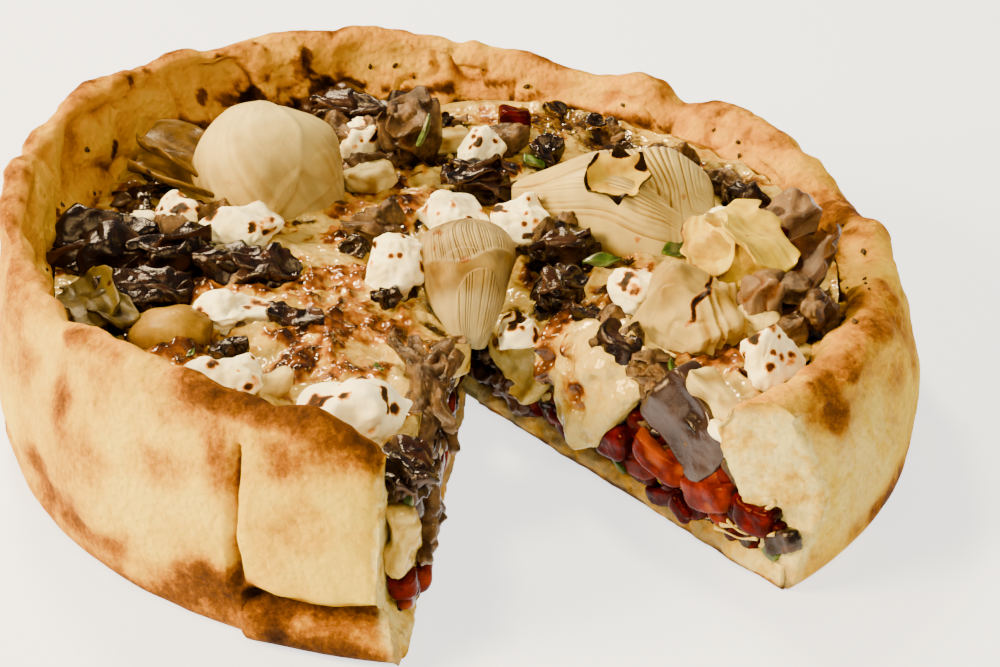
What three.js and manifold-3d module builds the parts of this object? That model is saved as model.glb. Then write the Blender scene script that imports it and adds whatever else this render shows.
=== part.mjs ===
/**
 * Deep dish vegetable pizza, ten inches across, with one slice taken out.
 *
 * Millimetres, +Z up. The origin is under the middle of the pizza, on the surface it stands on. The missing
 * slice faces -Y. Azimuths are degrees from +X towards +Y, so the crust runs from CUT_RIGHT round the back to
 * CUT_LEFT.
 */
import * as THREE from "three";
import { mergeVertices } from "three/addons/utils/BufferGeometryUtils.js";
import Module from "manifold-3d";

// The slice that was taken out.
const CUT_RIGHT = -48;
const CUT_LEFT = 264.5;
const WALL_END_LEFT = 262.5; // the wall stops just short of the base at the left cut

// The crust: a flat base and a tall wall, one piece of dough.
const BASE_RADIUS = 130;
const FOOT_RADIUS = 126; // edge of the flat underside
const BASE_THICKNESS = 7;
const CREST_RADIUS = 125.5; // outer edge of the rim
const CREST_LEAN = 2.5; // the rim leans out at the back left and in at the front
const CREST_LEAN_AT = 145;
const RIM_HEIGHT = 60;
const RIM_TILT = 11; // the dough stands higher on the left than on the right
const RIM_HIGHEST_AT = 175;
const CREST_THICKNESS = 12;
const CREST_EXTRA = 4; // thicker on the right, thinner on the left
const CROWN_HEIGHT = 6; // the rounded top of the wall
const CROWN_ANGLES = [35, 75, 115, 150]; // where its corners lie, in degrees from the outside
const WALL_BULGE = 1.6;
const WALL_LEAN_POWER = 1.5; // the wall leans in more and more towards the top
const WALL_ROUGHNESS = 0.9;
const WALL_LOW_HEIGHTS = [16, 26]; // rings of corners on the outside: low ones at a height,
const WALL_HIGH_SHARES = [0.6, 0.82, 1]; // the others at a share of the wall below the crown
const INNER_WALL_SHARES = [0.55, 0]; // and on the inside, at a share of the wall above the filling
const INNER_FOOT_RADIUS = 118; // where the inside of the wall meets the base
const FLOOR_RING = 66; // a ring of corners in the flat faces of the base
const BASE_EDGE = [1.8, 5]; // heights of the base's rounded edge

// Dips where the dough was pinched down: azimuth, how far they reach each way, and depth.
const RIM_DIPS = [
  { at: 78, before: 12, after: 13, depth: 6 },
  { at: 56, before: 4, after: 4, depth: 6.5 },
  { at: 21, before: 6, after: 6, depth: 5.5 },
  { at: 209, before: 16, after: 14, depth: 7.5 },
  { at: 266, before: 6, after: 6, depth: 7 },
];

// Creases that run down the wall where the dough overlaps itself. Inside ones show faintly outside too.
const CREASES = [
  { at: 92, width: 2.2, depth: 3.2, from: 40, to: 80, inside: true },
  { at: 57, width: 2.2, depth: 2.6, from: 30, to: 80, inside: true },
  { at: 33, width: 2.4, depth: 2.2, from: 34, to: 80, inside: true },
  { at: 14, width: 2.4, depth: 3, from: 30, to: 80, inside: true },
  { at: -8, width: 2.4, depth: 2.6, from: 36, to: 80, inside: true },
  { at: 132, width: 2.4, depth: 2.2, from: 50, to: 80, inside: true },
  { at: 246, width: 1.5, depth: 4, from: 15, to: 56, inside: false },
];
const CREASE_OUTSIDE = 0.4; // share of an inside crease's depth that shows outside
const CREASE_ON_CROWN = 0.6; // and share that notches the rim
const CREASE_FADE = 5; // height over which a crease starts and ends

// Right of the front crease the wall has lifted off the base, whose edge sticks out below it as a lip.
const LIP_FROM = 247;
const LIP_OUT = 3.5;
const LIP_TOP = 10;
const LIP_GAP_DEPTH = 5;
const LIP_PANEL_BULGE = 1.8;

// At the right cut the wall is folded over, so that its end faces the front.
const FLAP_REACH = 12; // degrees of wall that the fold takes
const FLAP_RADIUS = 117; // radius at which the folded end meets the cut
const FLAP_TWIST = 0.42; // degrees of turn for each millimetre outside or inside that radius
const FLAP_FROM = { radius: [90, 105], height: [8, 26] }; // where the twist begins and where it is full
const END_TEAR = 0.5; // the ends of the crust are torn by about this many degrees
const END_REACH = 4; // and this far from the cut

// The filling, in three layers that run through the pizza.
const PEPPER_TOP = 20;
const AUBERGINE_TOP = 33;
const CHEESE_TOP = 42;
const FILLING_RADIUS = 110; // inner radius of the wall at the top of the filling
const FILLING_SHIFT = 4.5; // further out on the left, where the wall is thinner
const SAG = 13; // the layers sag at the point of the slice
const SAG_AT = [8, -14];
const SAG_REACH = 27;
const SAG_SHARE = { pepper: 0.35, aubergine: 0.85, cheese: 1 };
const CHEESE_RIPPLE = 1.6;
const RIPPLE_LENGTH = 12;
const CUT_UNEVEN = 1; // degrees by which the cut faces of the layers wander

const CUT_GAP = 0.4; // clearance that a piece keeps for its neighbours where they would meet
const LAYER_GAP = 0.6; // clearance between the layers, and from the layers to the crust
const WALL_STEP = 5; // degrees between sections of the crust
const LAYER_STEP = 10; // and of the layers
const LAYER_RINGS = [22, 48]; // rings of corners on a hidden face of a layer
const CHEESE_RINGS = [16, 32, 50, 70, 90]; // and on the cheese
const CLOSEST_SECTIONS = 0.7; // sections of the crust that lie nearer than this are left out
const MERGE = 1e-3; // corners nearer than this are one
const RAD = Math.PI / 180;

const COLOURS = {
  crust: "#e2bd80",
  pepper_filling: "#b8321c",
  aubergine_filling: "#5a4436",
  melted_cheese: "#ecd9a0",
  artichoke: "#d3c193",
  artichoke_leaf: "#b5a054",
  feta: "#f3ecd9",
  aubergine: "#3a2a28",
  aubergine_flesh: "#6e5540",
  pepper_red: "#b3200f",
  pepper_orange: "#d9541c",
  herb: "#3f5a22",
};

const wasm = await Module();
wasm.setup();

// ---------------------------------------------------------------- shapes

/** Smooth step from 0 at `low` to 1 at `high`. */
const rise = (value, low, high) => THREE.MathUtils.smoothstep(value, low, high);

/** A bump of height 1 at `offset` 0 that fades out over `reach`. */
const bump = (offset, reach) => Math.exp(-((offset / reach) ** 2));

/** Gentle irregular waves between -1 and 1, the same for the same point and seed. */
const WAVES = [
  [1.7, 0.9, 0.4],
  [-0.5, 1.3, -1.1],
  [0.8, -0.6, 1.5],
];
function unevenness(x, y, z, seed = 0) {
  let sum = 0;
  WAVES.forEach(([kx, ky, kz], index) => {
    sum += Math.sin(kx * x + ky * y + kz * z + seed * (index + 1) + index);
  });
  return sum / WAVES.length;
}

/** A geometry of triangles from a flat list of corner coordinates. */
function fromCorners(corners) {
  const geometry = new THREE.BufferGeometry();
  geometry.setAttribute("position", new THREE.Float32BufferAttribute(corners, 3));
  return geometry;
}

/**
 * Part of a round, swept from the first azimuth to the last. section(azimuth) gives its outline as
 * [radius, height] pairs that start and end on the axis. turn(azimuth, radius, height) gives the degrees by
 * which a point leaves its own section.
 */
function sweptSector(azimuths, section, turn) {
  const corners = [];
  const outlines = azimuths.map(section);
  const rows = outlines[0].length;
  const point = (column, row) => {
    const [radius, height] = outlines[column][row];
    const angle = (azimuths[column] + turn(azimuths[column], radius, height)) * RAD;
    return [radius * Math.cos(angle), radius * Math.sin(angle), height];
  };
  const triangle = (a, b, c) => corners.push(...a, ...b, ...c);
  for (let column = 0; column + 1 < azimuths.length; column++) {
    for (let row = 0; row + 1 < rows; row++) {
      const near = point(column, row);
      const far = point(column + 1, row);
      const farNext = point(column + 1, row + 1);
      const nearNext = point(column, row + 1);
      if (row > 0) triangle(near, far, farNext);
      if (row + 2 < rows) triangle(near, farNext, nearNext);
    }
  }
  const last = azimuths.length - 1;
  [0, last].forEach((column) => {
    const flat = outlines[column].map(([radius, height]) => new THREE.Vector2(radius, height));
    THREE.ShapeUtils.triangulateShape(flat, []).forEach(([a, b, c]) => {
      const order = column === 0 ? [a, b, c] : [a, c, b];
      triangle(...order.map((row) => point(column, row)));
    });
  });
  return fromCorners(corners);
}

/** The solid between two sheets, each a function of (u, v) from 0 to 1. Both have triangles alike. */
function betweenSheets(across, along, upper, lower) {
  const corners = [];
  const at = (sheet, i, j) => sheet(i / across, j / along).toArray();
  const quad = (a, b, c, d) => corners.push(...a, ...b, ...c, ...a, ...c, ...d);
  const flipped = (a, b, c, d) => corners.push(...a, ...c, ...b, ...a, ...d, ...c);
  for (let i = 0; i < across; i++) {
    for (let j = 0; j < along; j++) {
      const cell = [[i, j], [i + 1, j], [i + 1, j + 1], [i, j + 1]];
      quad(...cell.map(([a, b]) => at(upper, a, b)));
      flipped(...cell.map(([a, b]) => at(lower, a, b)));
    }
  }
  const edge = (i, j, nextI, nextJ) =>
    quad(at(lower, i, j), at(lower, nextI, nextJ), at(upper, nextI, nextJ), at(upper, i, j));
  for (let i = 0; i < across; i++) {
    edge(i, 0, i + 1, 0);
    edge(i + 1, along, i, along);
  }
  for (let j = 0; j < along; j++) {
    edge(across, j, across, j + 1);
    edge(0, j + 1, 0, j);
  }
  return fromCorners(corners);
}

/** A lump: a ball made boxy (0 round, 1 square), stretched to size and roughened. */
function lump({ size, boxy = 0.3, rough = 0.1, grain = 1.6, facets = 1, seed = 0 }) {
  const geometry = new THREE.IcosahedronGeometry(1, facets);
  const place = geometry.getAttribute("position");
  const power = 2 + 4 * boxy;
  const point = new THREE.Vector3();
  for (let index = 0; index < place.count; index++) {
    point.fromBufferAttribute(place, index).normalize();
    const squared = point.toArray().reduce((sum, part) => sum + Math.abs(part) ** power, 0);
    const swell = 1 + rough * unevenness(point.x * grain, point.y * grain, point.z * grain, seed);
    point.multiplyScalar((swell * squared ** (-1 / power)) / 2);
    place.setXYZ(index, point.x * size[0], point.y * size[1], point.z * size[2]);
  }
  return geometry;
}

/**
 * Part of an artichoke heart: leaves fanned out from a narrow foot to a wide fringe, domed on top, with a
 * pleat between one leaf and the next. The foot is at -Y and the fringe at +Y.
 */
function leafFan({ size, foot = 0.35, leaves = 5, pleat = 0.12, across = 12, along = 6 }) {
  const [width, length, height] = size;
  const belly = 0.2; // share of the height that lies below its edge
  const widest = 0.8; // share of the length at which it is widest
  const bluntEnd = 0.08; // share of the dome that is missing at either end
  const outline = (v) => {
    const taper = foot + (1 - foot) * Math.sin((v * Math.PI) / (2 * widest));
    return taper * Math.sqrt(1 - (2 * v - 1) ** 6);
  };
  const sheet = (side) => (u, v) => {
    const from = 2 * u - 1;
    const dome = Math.sin(Math.PI * THREE.MathUtils.lerp(bluntEnd, 1 - bluntEnd, v));
    const round = Math.sqrt(1 - from ** 4) * dome;
    const fold = 1 + pleat * Math.cos(leaves * Math.PI * from);
    const lift = side > 0 ? (1 - belly) * round * fold : -belly * round;
    return new THREE.Vector3((from * outline(v) * width) / 2, (v - 0.5) * length, lift * height);
  };
  return betweenSheets(across, along, sheet(1), sheet(-1));
}

/** A leaf or strip: a thin sheet that narrows at both ends, cupped across and waved and bent along. */
function thinLeaf({ size, cup = 0.15, wave = 0.1, bend = 0, blunt = 0.6, across = 3, along = 6, seed = 0 }) {
  const [width, length, thickness] = size;
  const tip = 0.05; // share of the leaf shape that is missing at either end
  const sheet = (side) => (u, v) => {
    const from = 2 * u - 1;
    const half = (width / 2) * Math.sin(Math.PI * THREE.MathUtils.lerp(tip, 1 - tip, v)) ** blunt;
    const waved = wave * Math.sin(v * 7 + from * 2 + seed);
    const height = width * (cup * from ** 2 + waved) + bend * (v - 0.5) ** 2;
    return new THREE.Vector3(from * half, (v - 0.5) * length, height + (side * thickness) / 2);
  };
  return betweenSheets(across, along, sheet(1), sheet(-1));
}

/** Turns a geometry about X (tilt), Y (roll) and Z (turn), in degrees, and moves it to `at`. */
function placed(geometry, { at, tilt = 0, roll = 0, turn = 0 }) {
  const spin = new THREE.Euler(tilt * RAD, roll * RAD, turn * RAD, "ZYX");
  geometry.applyMatrix4(new THREE.Matrix4().makeRotationFromEuler(spin));
  return geometry.translate(...at);
}

// ---------------------------------------------------------------- solids

/** Corners that share a place are merged, and triangles that this flattens are left out. */
function merged(geometry) {
  const plain = new THREE.BufferGeometry();
  const loose = geometry.index ? geometry.toNonIndexed() : geometry;
  plain.setAttribute("position", loose.getAttribute("position"));
  const joined = mergeVertices(plain, MERGE);
  const index = [];
  const list = joined.index.array;
  for (let i = 0; i < list.length; i += 3) {
    const [a, b, c] = [list[i], list[i + 1], list[i + 2]];
    if (a !== b && b !== c && c !== a) index.push(a, b, c);
  }
  return joined.setIndex(index);
}

/** A closed geometry as a solid that can be joined and cut, grown outwards by `by` millimetres. */
function solidOf(geometry, by = 0) {
  const closed = merged(geometry);
  const place = closed.getAttribute("position");
  if (by > 0) {
    closed.computeVertexNormals();
    const normal = closed.getAttribute("normal");
    for (let i = 0; i < place.count; i++)
      place.setXYZ(
        i,
        place.getX(i) + normal.getX(i) * by,
        place.getY(i) + normal.getY(i) * by,
        place.getZ(i) + normal.getZ(i) * by,
      );
  }
  const triVerts = new Uint32Array(closed.index.array);
  const vertProperties = new Float32Array(place.array);
  return new wasm.Manifold(new wasm.Mesh({ numProp: 3, vertProperties, triVerts }));
}

/** The largest body of a solid, without the scraps that a cut leaves. */
function largest(solid) {
  const bodies = solid.decompose();
  return bodies.reduce((best, body) => (body.volume() > best.volume() ? body : best), bodies[0]);
}

function geometryOf(solid) {
  const { vertProperties, triVerts } = solid.getMesh();
  const geometry = new THREE.BufferGeometry();
  geometry.setAttribute("position", new THREE.Float32BufferAttribute(vertProperties, 3));
  return geometry.setIndex([...triVerts]);
}

// ---------------------------------------------------------------- crust

function rimHeight(azimuth) {
  let height = RIM_HEIGHT + RIM_TILT * Math.cos((azimuth - RIM_HIGHEST_AT) * RAD);
  RIM_DIPS.forEach(({ at, before, after, depth }) => {
    height -= depth * bump(azimuth - at, azimuth < at ? before : after);
  });
  return height + unevenness(azimuth / 4, 0, 0);
}

/** How deep the creases cut at this azimuth and height, on the inside or the outside of the wall. */
function creaseDepth(azimuth, height, inside) {
  let depth = 0;
  CREASES.filter((crease) => inside === crease.inside || crease.inside).forEach((crease) => {
    const share = inside || !crease.inside ? 1 : CREASE_OUTSIDE;
    const started = rise(height, crease.from - CREASE_FADE, crease.from + CREASE_FADE);
    const ended = rise(height, crease.to - CREASE_FADE, crease.to);
    depth += share * crease.depth * bump(azimuth - crease.at, crease.width) * started * (1 - ended);
  });
  return depth;
}

const fillingEdge = (azimuth) => FILLING_RADIUS - FILLING_SHIFT * Math.cos(azimuth * RAD);

/** Outline of the crust at one azimuth: from under the middle out, up, over the rim and back. */
function crustSection(azimuth) {
  const top = rimHeight(azimuth);
  const thickness = CREST_THICKNESS + CREST_EXTRA * Math.cos(azimuth * RAD);
  const crest = CREST_RADIUS + CREST_LEAN * Math.cos((azimuth - CREST_LEAN_AT) * RAD);
  const cap = Math.min(thickness / 2, CROWN_HEIGHT);
  const lip = rise(azimuth, LIP_FROM - 1, LIP_FROM + 1);
  const outer = (height) => {
    const share = height / (top - cap);
    const lean = THREE.MathUtils.lerp(BASE_RADIUS, crest, share ** WALL_LEAN_POWER);
    const dough = WALL_ROUGHNESS * unevenness(azimuth / 7, height / 14, 0, 1);
    const bulge = (WALL_BULGE + LIP_PANEL_BULGE * lip) * Math.sin(Math.PI * share);
    return lean + bulge + dough - creaseDepth(azimuth, height, false);
  };
  const wallHeights = [...WALL_LOW_HEIGHTS, ...WALL_HIGH_SHARES.map((share) => share * (top - cap))];
  const wall = wallHeights.map((height) => [outer(height), height]);
  const notch = CREASE_ON_CROWN * creaseDepth(azimuth, top - cap, true);
  const crown = CROWN_ANGLES.map((degrees) => [
    crest - thickness / 2 + (thickness / 2) * Math.cos(degrees * RAD),
    top - cap - notch + cap * Math.sin(degrees * RAD),
  ]);
  const edge = fillingEdge(azimuth);
  const innerCrest = crest - thickness;
  const inside = INNER_WALL_SHARES.map((share) => {
    const height = THREE.MathUtils.lerp(CHEESE_TOP + 1, top - cap, share);
    const radius = THREE.MathUtils.lerp(edge, innerCrest, share) + creaseDepth(azimuth, height, true);
    return [radius, height];
  });
  return [
    [0, 0],
    [FLOOR_RING, 0],
    [FOOT_RADIUS, 0],
    [BASE_RADIUS - 1 + LIP_OUT * lip, BASE_EDGE[0]],
    [BASE_RADIUS + LIP_OUT * lip, BASE_EDGE[1]],
    [BASE_RADIUS + LIP_OUT * lip, LIP_TOP - 1],
    [BASE_RADIUS - LIP_GAP_DEPTH * lip, LIP_TOP + 2],
    ...wall,
    ...crown,
    ...inside,
    [INNER_FOOT_RADIUS, BASE_THICKNESS],
    [FLOOR_RING, BASE_THICKNESS],
    [0, BASE_THICKNESS],
  ];
}

/** The ends of the crust: folded round at the right cut, and a little torn at both. */
function crustTurn(azimuth, radius, height) {
  const nearRight = 1 - rise(azimuth, CUT_RIGHT, CUT_RIGHT + FLAP_REACH);
  const onWall = rise(radius, ...FLAP_FROM.radius) * rise(height, ...FLAP_FROM.height);
  const twist = FLAP_TWIST * (radius - FLAP_RADIUS) * nearRight * onWall;
  const nearLeft = rise(azimuth, CUT_LEFT - END_REACH, CUT_LEFT);
  const shorter = (CUT_LEFT - WALL_END_LEFT) * nearLeft * rise(height, BASE_THICKNESS, 2 * BASE_THICKNESS);
  const ends = nearLeft + 1 - rise(azimuth, CUT_RIGHT, CUT_RIGHT + END_REACH);
  return twist - shorter + END_TEAR * ends * unevenness(radius / 9, height / 6, 0, 3);
}

function crustAzimuths() {
  const azimuths = [CUT_LEFT, LIP_FROM - 1, LIP_FROM + 1];
  CREASES.forEach(({ at, width }) => azimuths.push(at - width, at, at + width));
  for (let azimuth = CUT_RIGHT; azimuth < CUT_LEFT - WALL_STEP / 2; azimuth += WALL_STEP)
    if (azimuths.every((other) => Math.abs(other - azimuth) > WALL_STEP / 2)) azimuths.push(azimuth);
  azimuths.sort((a, b) => a - b);
  return azimuths.filter((azimuth, index) => index === 0 || azimuth - azimuths[index - 1] > CLOSEST_SECTIONS);
}

// ---------------------------------------------------------------- layers

/** How far the filling has sunk at a place near the point of the slice. */
const sag = (x, y) => SAG * bump(Math.hypot(x - SAG_AT[0], y - SAG_AT[1]), SAG_REACH);

/**
 * One layer of the filling, between two bounds. Each has a nominal height and its share of the sag, and the
 * top can be rippled as well.
 */
function layerGeometry({ from, to, rings, ripple = 0 }) {
  const azimuths = [];
  const before = CUT_LEFT - LAYER_STEP / 2;
  for (let azimuth = CUT_RIGHT; azimuth < before; azimuth += LAYER_STEP) azimuths.push(azimuth);
  azimuths.push(CUT_LEFT);
  const wallInner = (azimuth, height) => {
    const share = (height - BASE_THICKNESS) / (CHEESE_TOP + 1 - BASE_THICKNESS);
    const chord = 1 - Math.cos((LAYER_STEP / 2) * RAD);
    const radius = THREE.MathUtils.lerp(INNER_FOOT_RADIUS, fillingEdge(azimuth), share);
    return radius * (1 - chord) - LAYER_GAP;
  };
  const section = (azimuth) => {
    const height = (bound, radius) => {
      const [x, y] = [radius * Math.cos(azimuth * RAD), radius * Math.sin(azimuth * RAD)];
      const wavy = bound === to ? ripple * unevenness(x / RIPPLE_LENGTH, y / RIPPLE_LENGTH, 0, 5) : 0;
      return bound.height - bound.sagShare * sag(x, y) + wavy;
    };
    const row = (bound, radius) => [radius, height(bound, radius)];
    const under = [0, ...LAYER_RINGS].map((radius) => row(from, radius));
    const over = [0, ...rings].map((radius) => row(to, radius)).reverse();
    const edge = [from, to].map((bound) => row(bound, wallInner(azimuth, bound.height)));
    return [...under, ...edge, ...over];
  };
  const turn = (azimuth, radius, height) => {
    if (azimuth > CUT_RIGHT && azimuth < CUT_LEFT) return 0;
    const inwards = azimuth === CUT_RIGHT ? 1 : -1;
    return inwards * CUT_UNEVEN * (1 + unevenness(radius / 13, height / 7, 0, 2)) * rise(radius, 5, 40);
  };
  return sweptSector(azimuths, section, turn);
}

// ---------------------------------------------------------------- the pizza

const pieces = [];
/** Adds a piece. It keeps its form, and all later ones give way to it. */
function piece(name, colour, geometry, placing) {
  const whole = placing ? placed(geometry, placing) : geometry;
  pieces.push({ name, colour, geometry: merged(whole) });
}

piece("crust", COLOURS.crust, sweptSector(crustAzimuths(), crustSection, crustTurn));

/** Grilled aubergine: dark skin, or brown flesh. */
function addAubergine(list, seed) {
  list.forEach(({ name, at, size, turn, tilt = 0, roll = 0, flesh = false, ...form }, index) => {
    const shape = { size, boxy: 0.35, rough: 0.14, grain: 2, seed: seed + index, ...form };
    const colour = flesh ? COLOURS.aubergine_flesh : COLOURS.aubergine;
    piece(`aubergine_${name}`, colour, lump(shape), { at, turn, tilt, roll });
  });
}

/** Strips of roasted pepper and pieces of tomato. */
function addPepper(list, seed) {
  list.forEach(({ name, at, size, turn, roll = 0, orange = false }, index) => {
    const shape = { size, boxy: 0.3, rough: 0.12, grain: 1.8, seed: seed + index };
    const colour = orange ? COLOURS.pepper_orange : COLOURS.pepper_red;
    piece(`pepper_${name}`, colour, lump(shape), { at, turn, roll });
  });
}

// Pieces that show in the two cut faces. The layers are cut back round them.
addAubergine(
  [
    { name: "cut_chunk_a", at: [42.5, -45, 40], size: [15, 11, 13], turn: -45, flesh: true },
    { name: "cut_chunk_b", at: [53, -56.5, 40.5], size: [13, 10, 13], turn: -20, flesh: true },
    { name: "cut_slab", at: [61, -67, 32.5], size: [26, 8.5, 22], turn: -48, roll: 34, boxy: 0.6 },
    { name: "cut_point", at: [15, -17, 12.5], size: [13, 8, 10], turn: -40 },
    { name: "cut_left_dark", at: [-10.5, -110, 44], size: [12, 15, 14], turn: 12 },
    { name: "cut_left_upper", at: [-8, -68, 37], size: [10, 40, 17], turn: -5, tilt: 10, flesh: true },
    { name: "cut_left_lower", at: [-7.5, -100, 22], size: [9, 24, 22], turn: -3, tilt: 14, flesh: true },
  ],
  11,
);
addPepper(
  [
    { name: "cut_orange_a", at: [55, -62.5, 18.5], size: [20, 8, 9], turn: -40, roll: 12, orange: true },
    { name: "cut_orange_b", at: [67, -75, 16.5], size: [19, 8, 9], turn: -52, roll: -22, orange: true },
    { name: "cut_red_a", at: [78, -86, 17], size: [13, 8, 9], turn: -48 },
    { name: "cut_red_b", at: [42.5, -49.5, 16], size: [12, 8, 11], turn: -48 },
    { name: "cut_left_red", at: [-12, -118, 17], size: [7, 8, 7], turn: 0 },
    { name: "cut_left_orange", at: [-9.5, -109, 13.5], size: [8, 9, 9], turn: 10, orange: true },
  ],
  40,
);
const mozzarella = { size: [8, 16, 20], boxy: 0.2, rough: 0.1, seed: 9 };
piece("mozzarella_cut_left", COLOURS.melted_cheese, lump(mozzarella), { at: [-12, -115, 30] });

// The three layers, from the top down.
const bound = (height, sagShare) => ({ height, sagShare });
const LAYERS = [
  {
    name: "melted_cheese",
    from: bound(AUBERGINE_TOP + LAYER_GAP, SAG_SHARE.aubergine),
    to: bound(CHEESE_TOP, SAG_SHARE.cheese),
    rings: CHEESE_RINGS,
    ripple: CHEESE_RIPPLE,
  },
  {
    name: "aubergine_filling",
    from: bound(PEPPER_TOP + LAYER_GAP, SAG_SHARE.pepper),
    to: bound(AUBERGINE_TOP, SAG_SHARE.aubergine),
    rings: LAYER_RINGS,
  },
  {
    name: "pepper_filling",
    from: bound(BASE_THICKNESS + LAYER_GAP, 0),
    to: bound(PEPPER_TOP, SAG_SHARE.pepper),
    rings: LAYER_RINGS,
  },
];
LAYERS.forEach((layer) => piece(layer.name, COLOURS[layer.name], layerGeometry(layer)));

// Artichoke hearts and leaves, the largest things on top.
const heart = { size: [43, 36, 36], boxy: 0.1, rough: 0.06, facets: 3, seed: 2 };
piece("artichoke_heart_back", COLOURS.artichoke, lump(heart), { at: [-57, 41, 51], tilt: -12, turn: 25 });
const backLeaf = { size: [22, 34, 1.6], cup: 0.35, bend: -14, across: 4 };
piece("artichoke_leaf_back_upper", COLOURS.artichoke_leaf, thinLeaf(backLeaf), {
  at: [-86, 47, 56],
  tilt: 28,
  roll: 14,
  turn: 62,
});
const lowerLeaf = { ...backLeaf, size: [18, 30, 1.6], seed: 2 };
piece("artichoke_leaf_back_lower", COLOURS.artichoke_leaf, thinLeaf(lowerLeaf), {
  at: [-86, 32, 51],
  tilt: 14,
  roll: 4,
  turn: 74,
});
const fan = { size: [42, 60, 24], foot: 0.35, leaves: 7, pleat: 0.06, across: 12, along: 6 };
piece("artichoke_fan_right", COLOURS.artichoke, leafFan(fan), {
  at: [44, 29, 44],
  tilt: 2,
  roll: 16,
  turn: -104,
});
const charredTip = { size: [15, 19, 1.8], cup: 0.3, bend: 10, blunt: 0.4 };
piece("artichoke_tip_charred", COLOURS.artichoke_leaf, thinLeaf(charredTip), {
  at: [43, 15, 59.5],
  tilt: -16,
  roll: -20,
  turn: 118,
});
const wedge = { size: [28, 42, 20], foot: 0.3, leaves: 5, pleat: 0.08, across: 9, along: 7 };
piece("artichoke_wedge_middle", COLOURS.artichoke, leafFan(wedge), { at: [2, -12, 41], tilt: 44, turn: 6 });
const rightHeart = { size: [29, 23, 22], boxy: 0.3, facets: 2, seed: 7 };
piece("artichoke_heart_right", COLOURS.artichoke, lump(rightHeart), {
  at: [62, -33, 47],
  roll: 12,
  turn: -14,
});
const leafy = { size: [27, 19, 18], rough: 0.16, facets: 2, seed: 4 };
piece("artichoke_leafy_right", COLOURS.artichoke_leaf, lump(leafy), {
  at: [76, -13, 52.5],
  roll: 10,
  turn: -20,
});
const wallLeaf = { size: [17, 36, 2], cup: 0.3, bend: -16 };
piece("artichoke_leaf_by_wall", COLOURS.artichoke_leaf, thinLeaf(wallLeaf), {
  at: [94, -24, 53],
  tilt: 26,
  roll: -22,
  turn: -38,
});
const leftLeaf = { size: [18, 23, 13], boxy: 0.1, rough: 0.14, seed: 3 };
piece("artichoke_leaf_left", COLOURS.artichoke_leaf, lump(leftLeaf), {
  at: [-98, -36, 45.5],
  roll: -14,
  turn: 20,
});
const leftHeart = { size: [22, 20, 13], boxy: 0.1, rough: 0.08, seed: 5 };
piece("artichoke_heart_left", COLOURS.artichoke, lump(leftHeart), { at: [-77, -45, 43.5], turn: 15 });

// Lumps of feta.
const FETA = [
  { at: [-83, 15, 47], size: [13, 12, 12], turn: 20 },
  { at: [-93, 10, 45.5], size: [13, 12, 10], turn: 50 },
  { at: [-64, 8, 47], size: [21, 14, 12], turn: 8 },
  { at: [-19, -8, 46.5], size: [17, 14, 19], turn: 12 },
  { at: [3, 62, 47], size: [13, 12, 12], turn: 35 },
  { at: [-4, 22, 46], size: [18, 14, 13], turn: -10 },
  { at: [16, 16, 47], size: [14, 13, 15], turn: 25 },
  { at: [17, -25, 31.5], size: [13, 12, 15], turn: -30 },
  { at: [-62.5, -36, 45], size: [22, 13, 11], turn: 4 },
  { at: [-59, -71, 45.5], size: [20, 15, 12], turn: 10 },
  { at: [-24, -90, 46], size: [27, 20, 19], turn: -12 },
  { at: [81.5, -59, 46.5], size: [16, 13, 17], turn: 30 },
  { at: [73, 8, 49], size: [16, 13, 15], turn: 15 },
  { at: [50, -19, 45.5], size: [16, 13, 12], turn: -25 },
  { at: [-33, 72, 46], size: [14, 12, 13], turn: 40 },
];
FETA.forEach(({ at, size, turn }, index) => {
  const crumbly = { size, boxy: 0.55, rough: 0.13, grain: 2.4, seed: index };
  piece(`feta_${index + 1}`, COLOURS.feta, lump(crumbly), { at, turn, tilt: 6 * Math.sin(index) });
});

addAubergine(
  [
    { name: "left", at: [-99, -3, 46], size: [29, 22, 14], turn: 8 },
    { name: "strip_a", at: [-82, -4, 46], size: [24, 14, 12], turn: 30 },
    { name: "strip_b", at: [-60, -9, 45.5], size: [29, 16, 12], turn: -8 },
    { name: "back", at: [-17, 68, 51.5], size: [18, 15, 26], turn: 20, tilt: 12, flesh: true },
    { name: "back_wall", at: [-38, 92, 45], size: [36, 15, 14], turn: -18 },
    { name: "middle_a", at: [6, 44, 46.5], size: [21, 15, 14], turn: 10 },
    { name: "middle_b", at: [28, 8, 45], size: [18, 14, 11], turn: 18 },
    { name: "middle_c", at: [27, -14, 41.5], size: [14, 12, 13], turn: 40 },
    { name: "left_rim", at: [-87, -24, 44], size: [24, 13, 11], turn: 12 },
    { name: "brown", at: [-27, 15, 44.5], size: [15, 12, 11], turn: 35, flesh: true },
    { name: "right_wall", at: [91, 15, 49], size: [18, 15, 16], turn: 50, flesh: true },
    { name: "right_lump", at: [83, -33, 50], size: [16, 15, 16], turn: 10, flesh: true, boxy: 0.1 },
  ],
  70,
);
addPepper([{ name: "back", at: [14, 87, 45], size: [11, 10, 12], turn: 0 }], 90);

// Herb leaves.
const HERBS = [
  { name: "middle", at: [39, -2, 45], size: [6, 11, 0.8], turn: -80 },
  { name: "right", at: [61, 4, 46], size: [7, 11, 0.8], turn: -60 },
  { name: "back", at: [20, 60, 45.5], size: [6, 10, 0.8], turn: 30 },
];
HERBS.forEach(({ name, at, size, turn }, index) => {
  const wavy = { size, cup: 0.12, wave: 0.08, blunt: 0.8, seed: index };
  piece(`herb_leaf_${name}`, COLOURS.herb, thinLeaf(wavy), { at, turn, roll: 8 });
});

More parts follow.
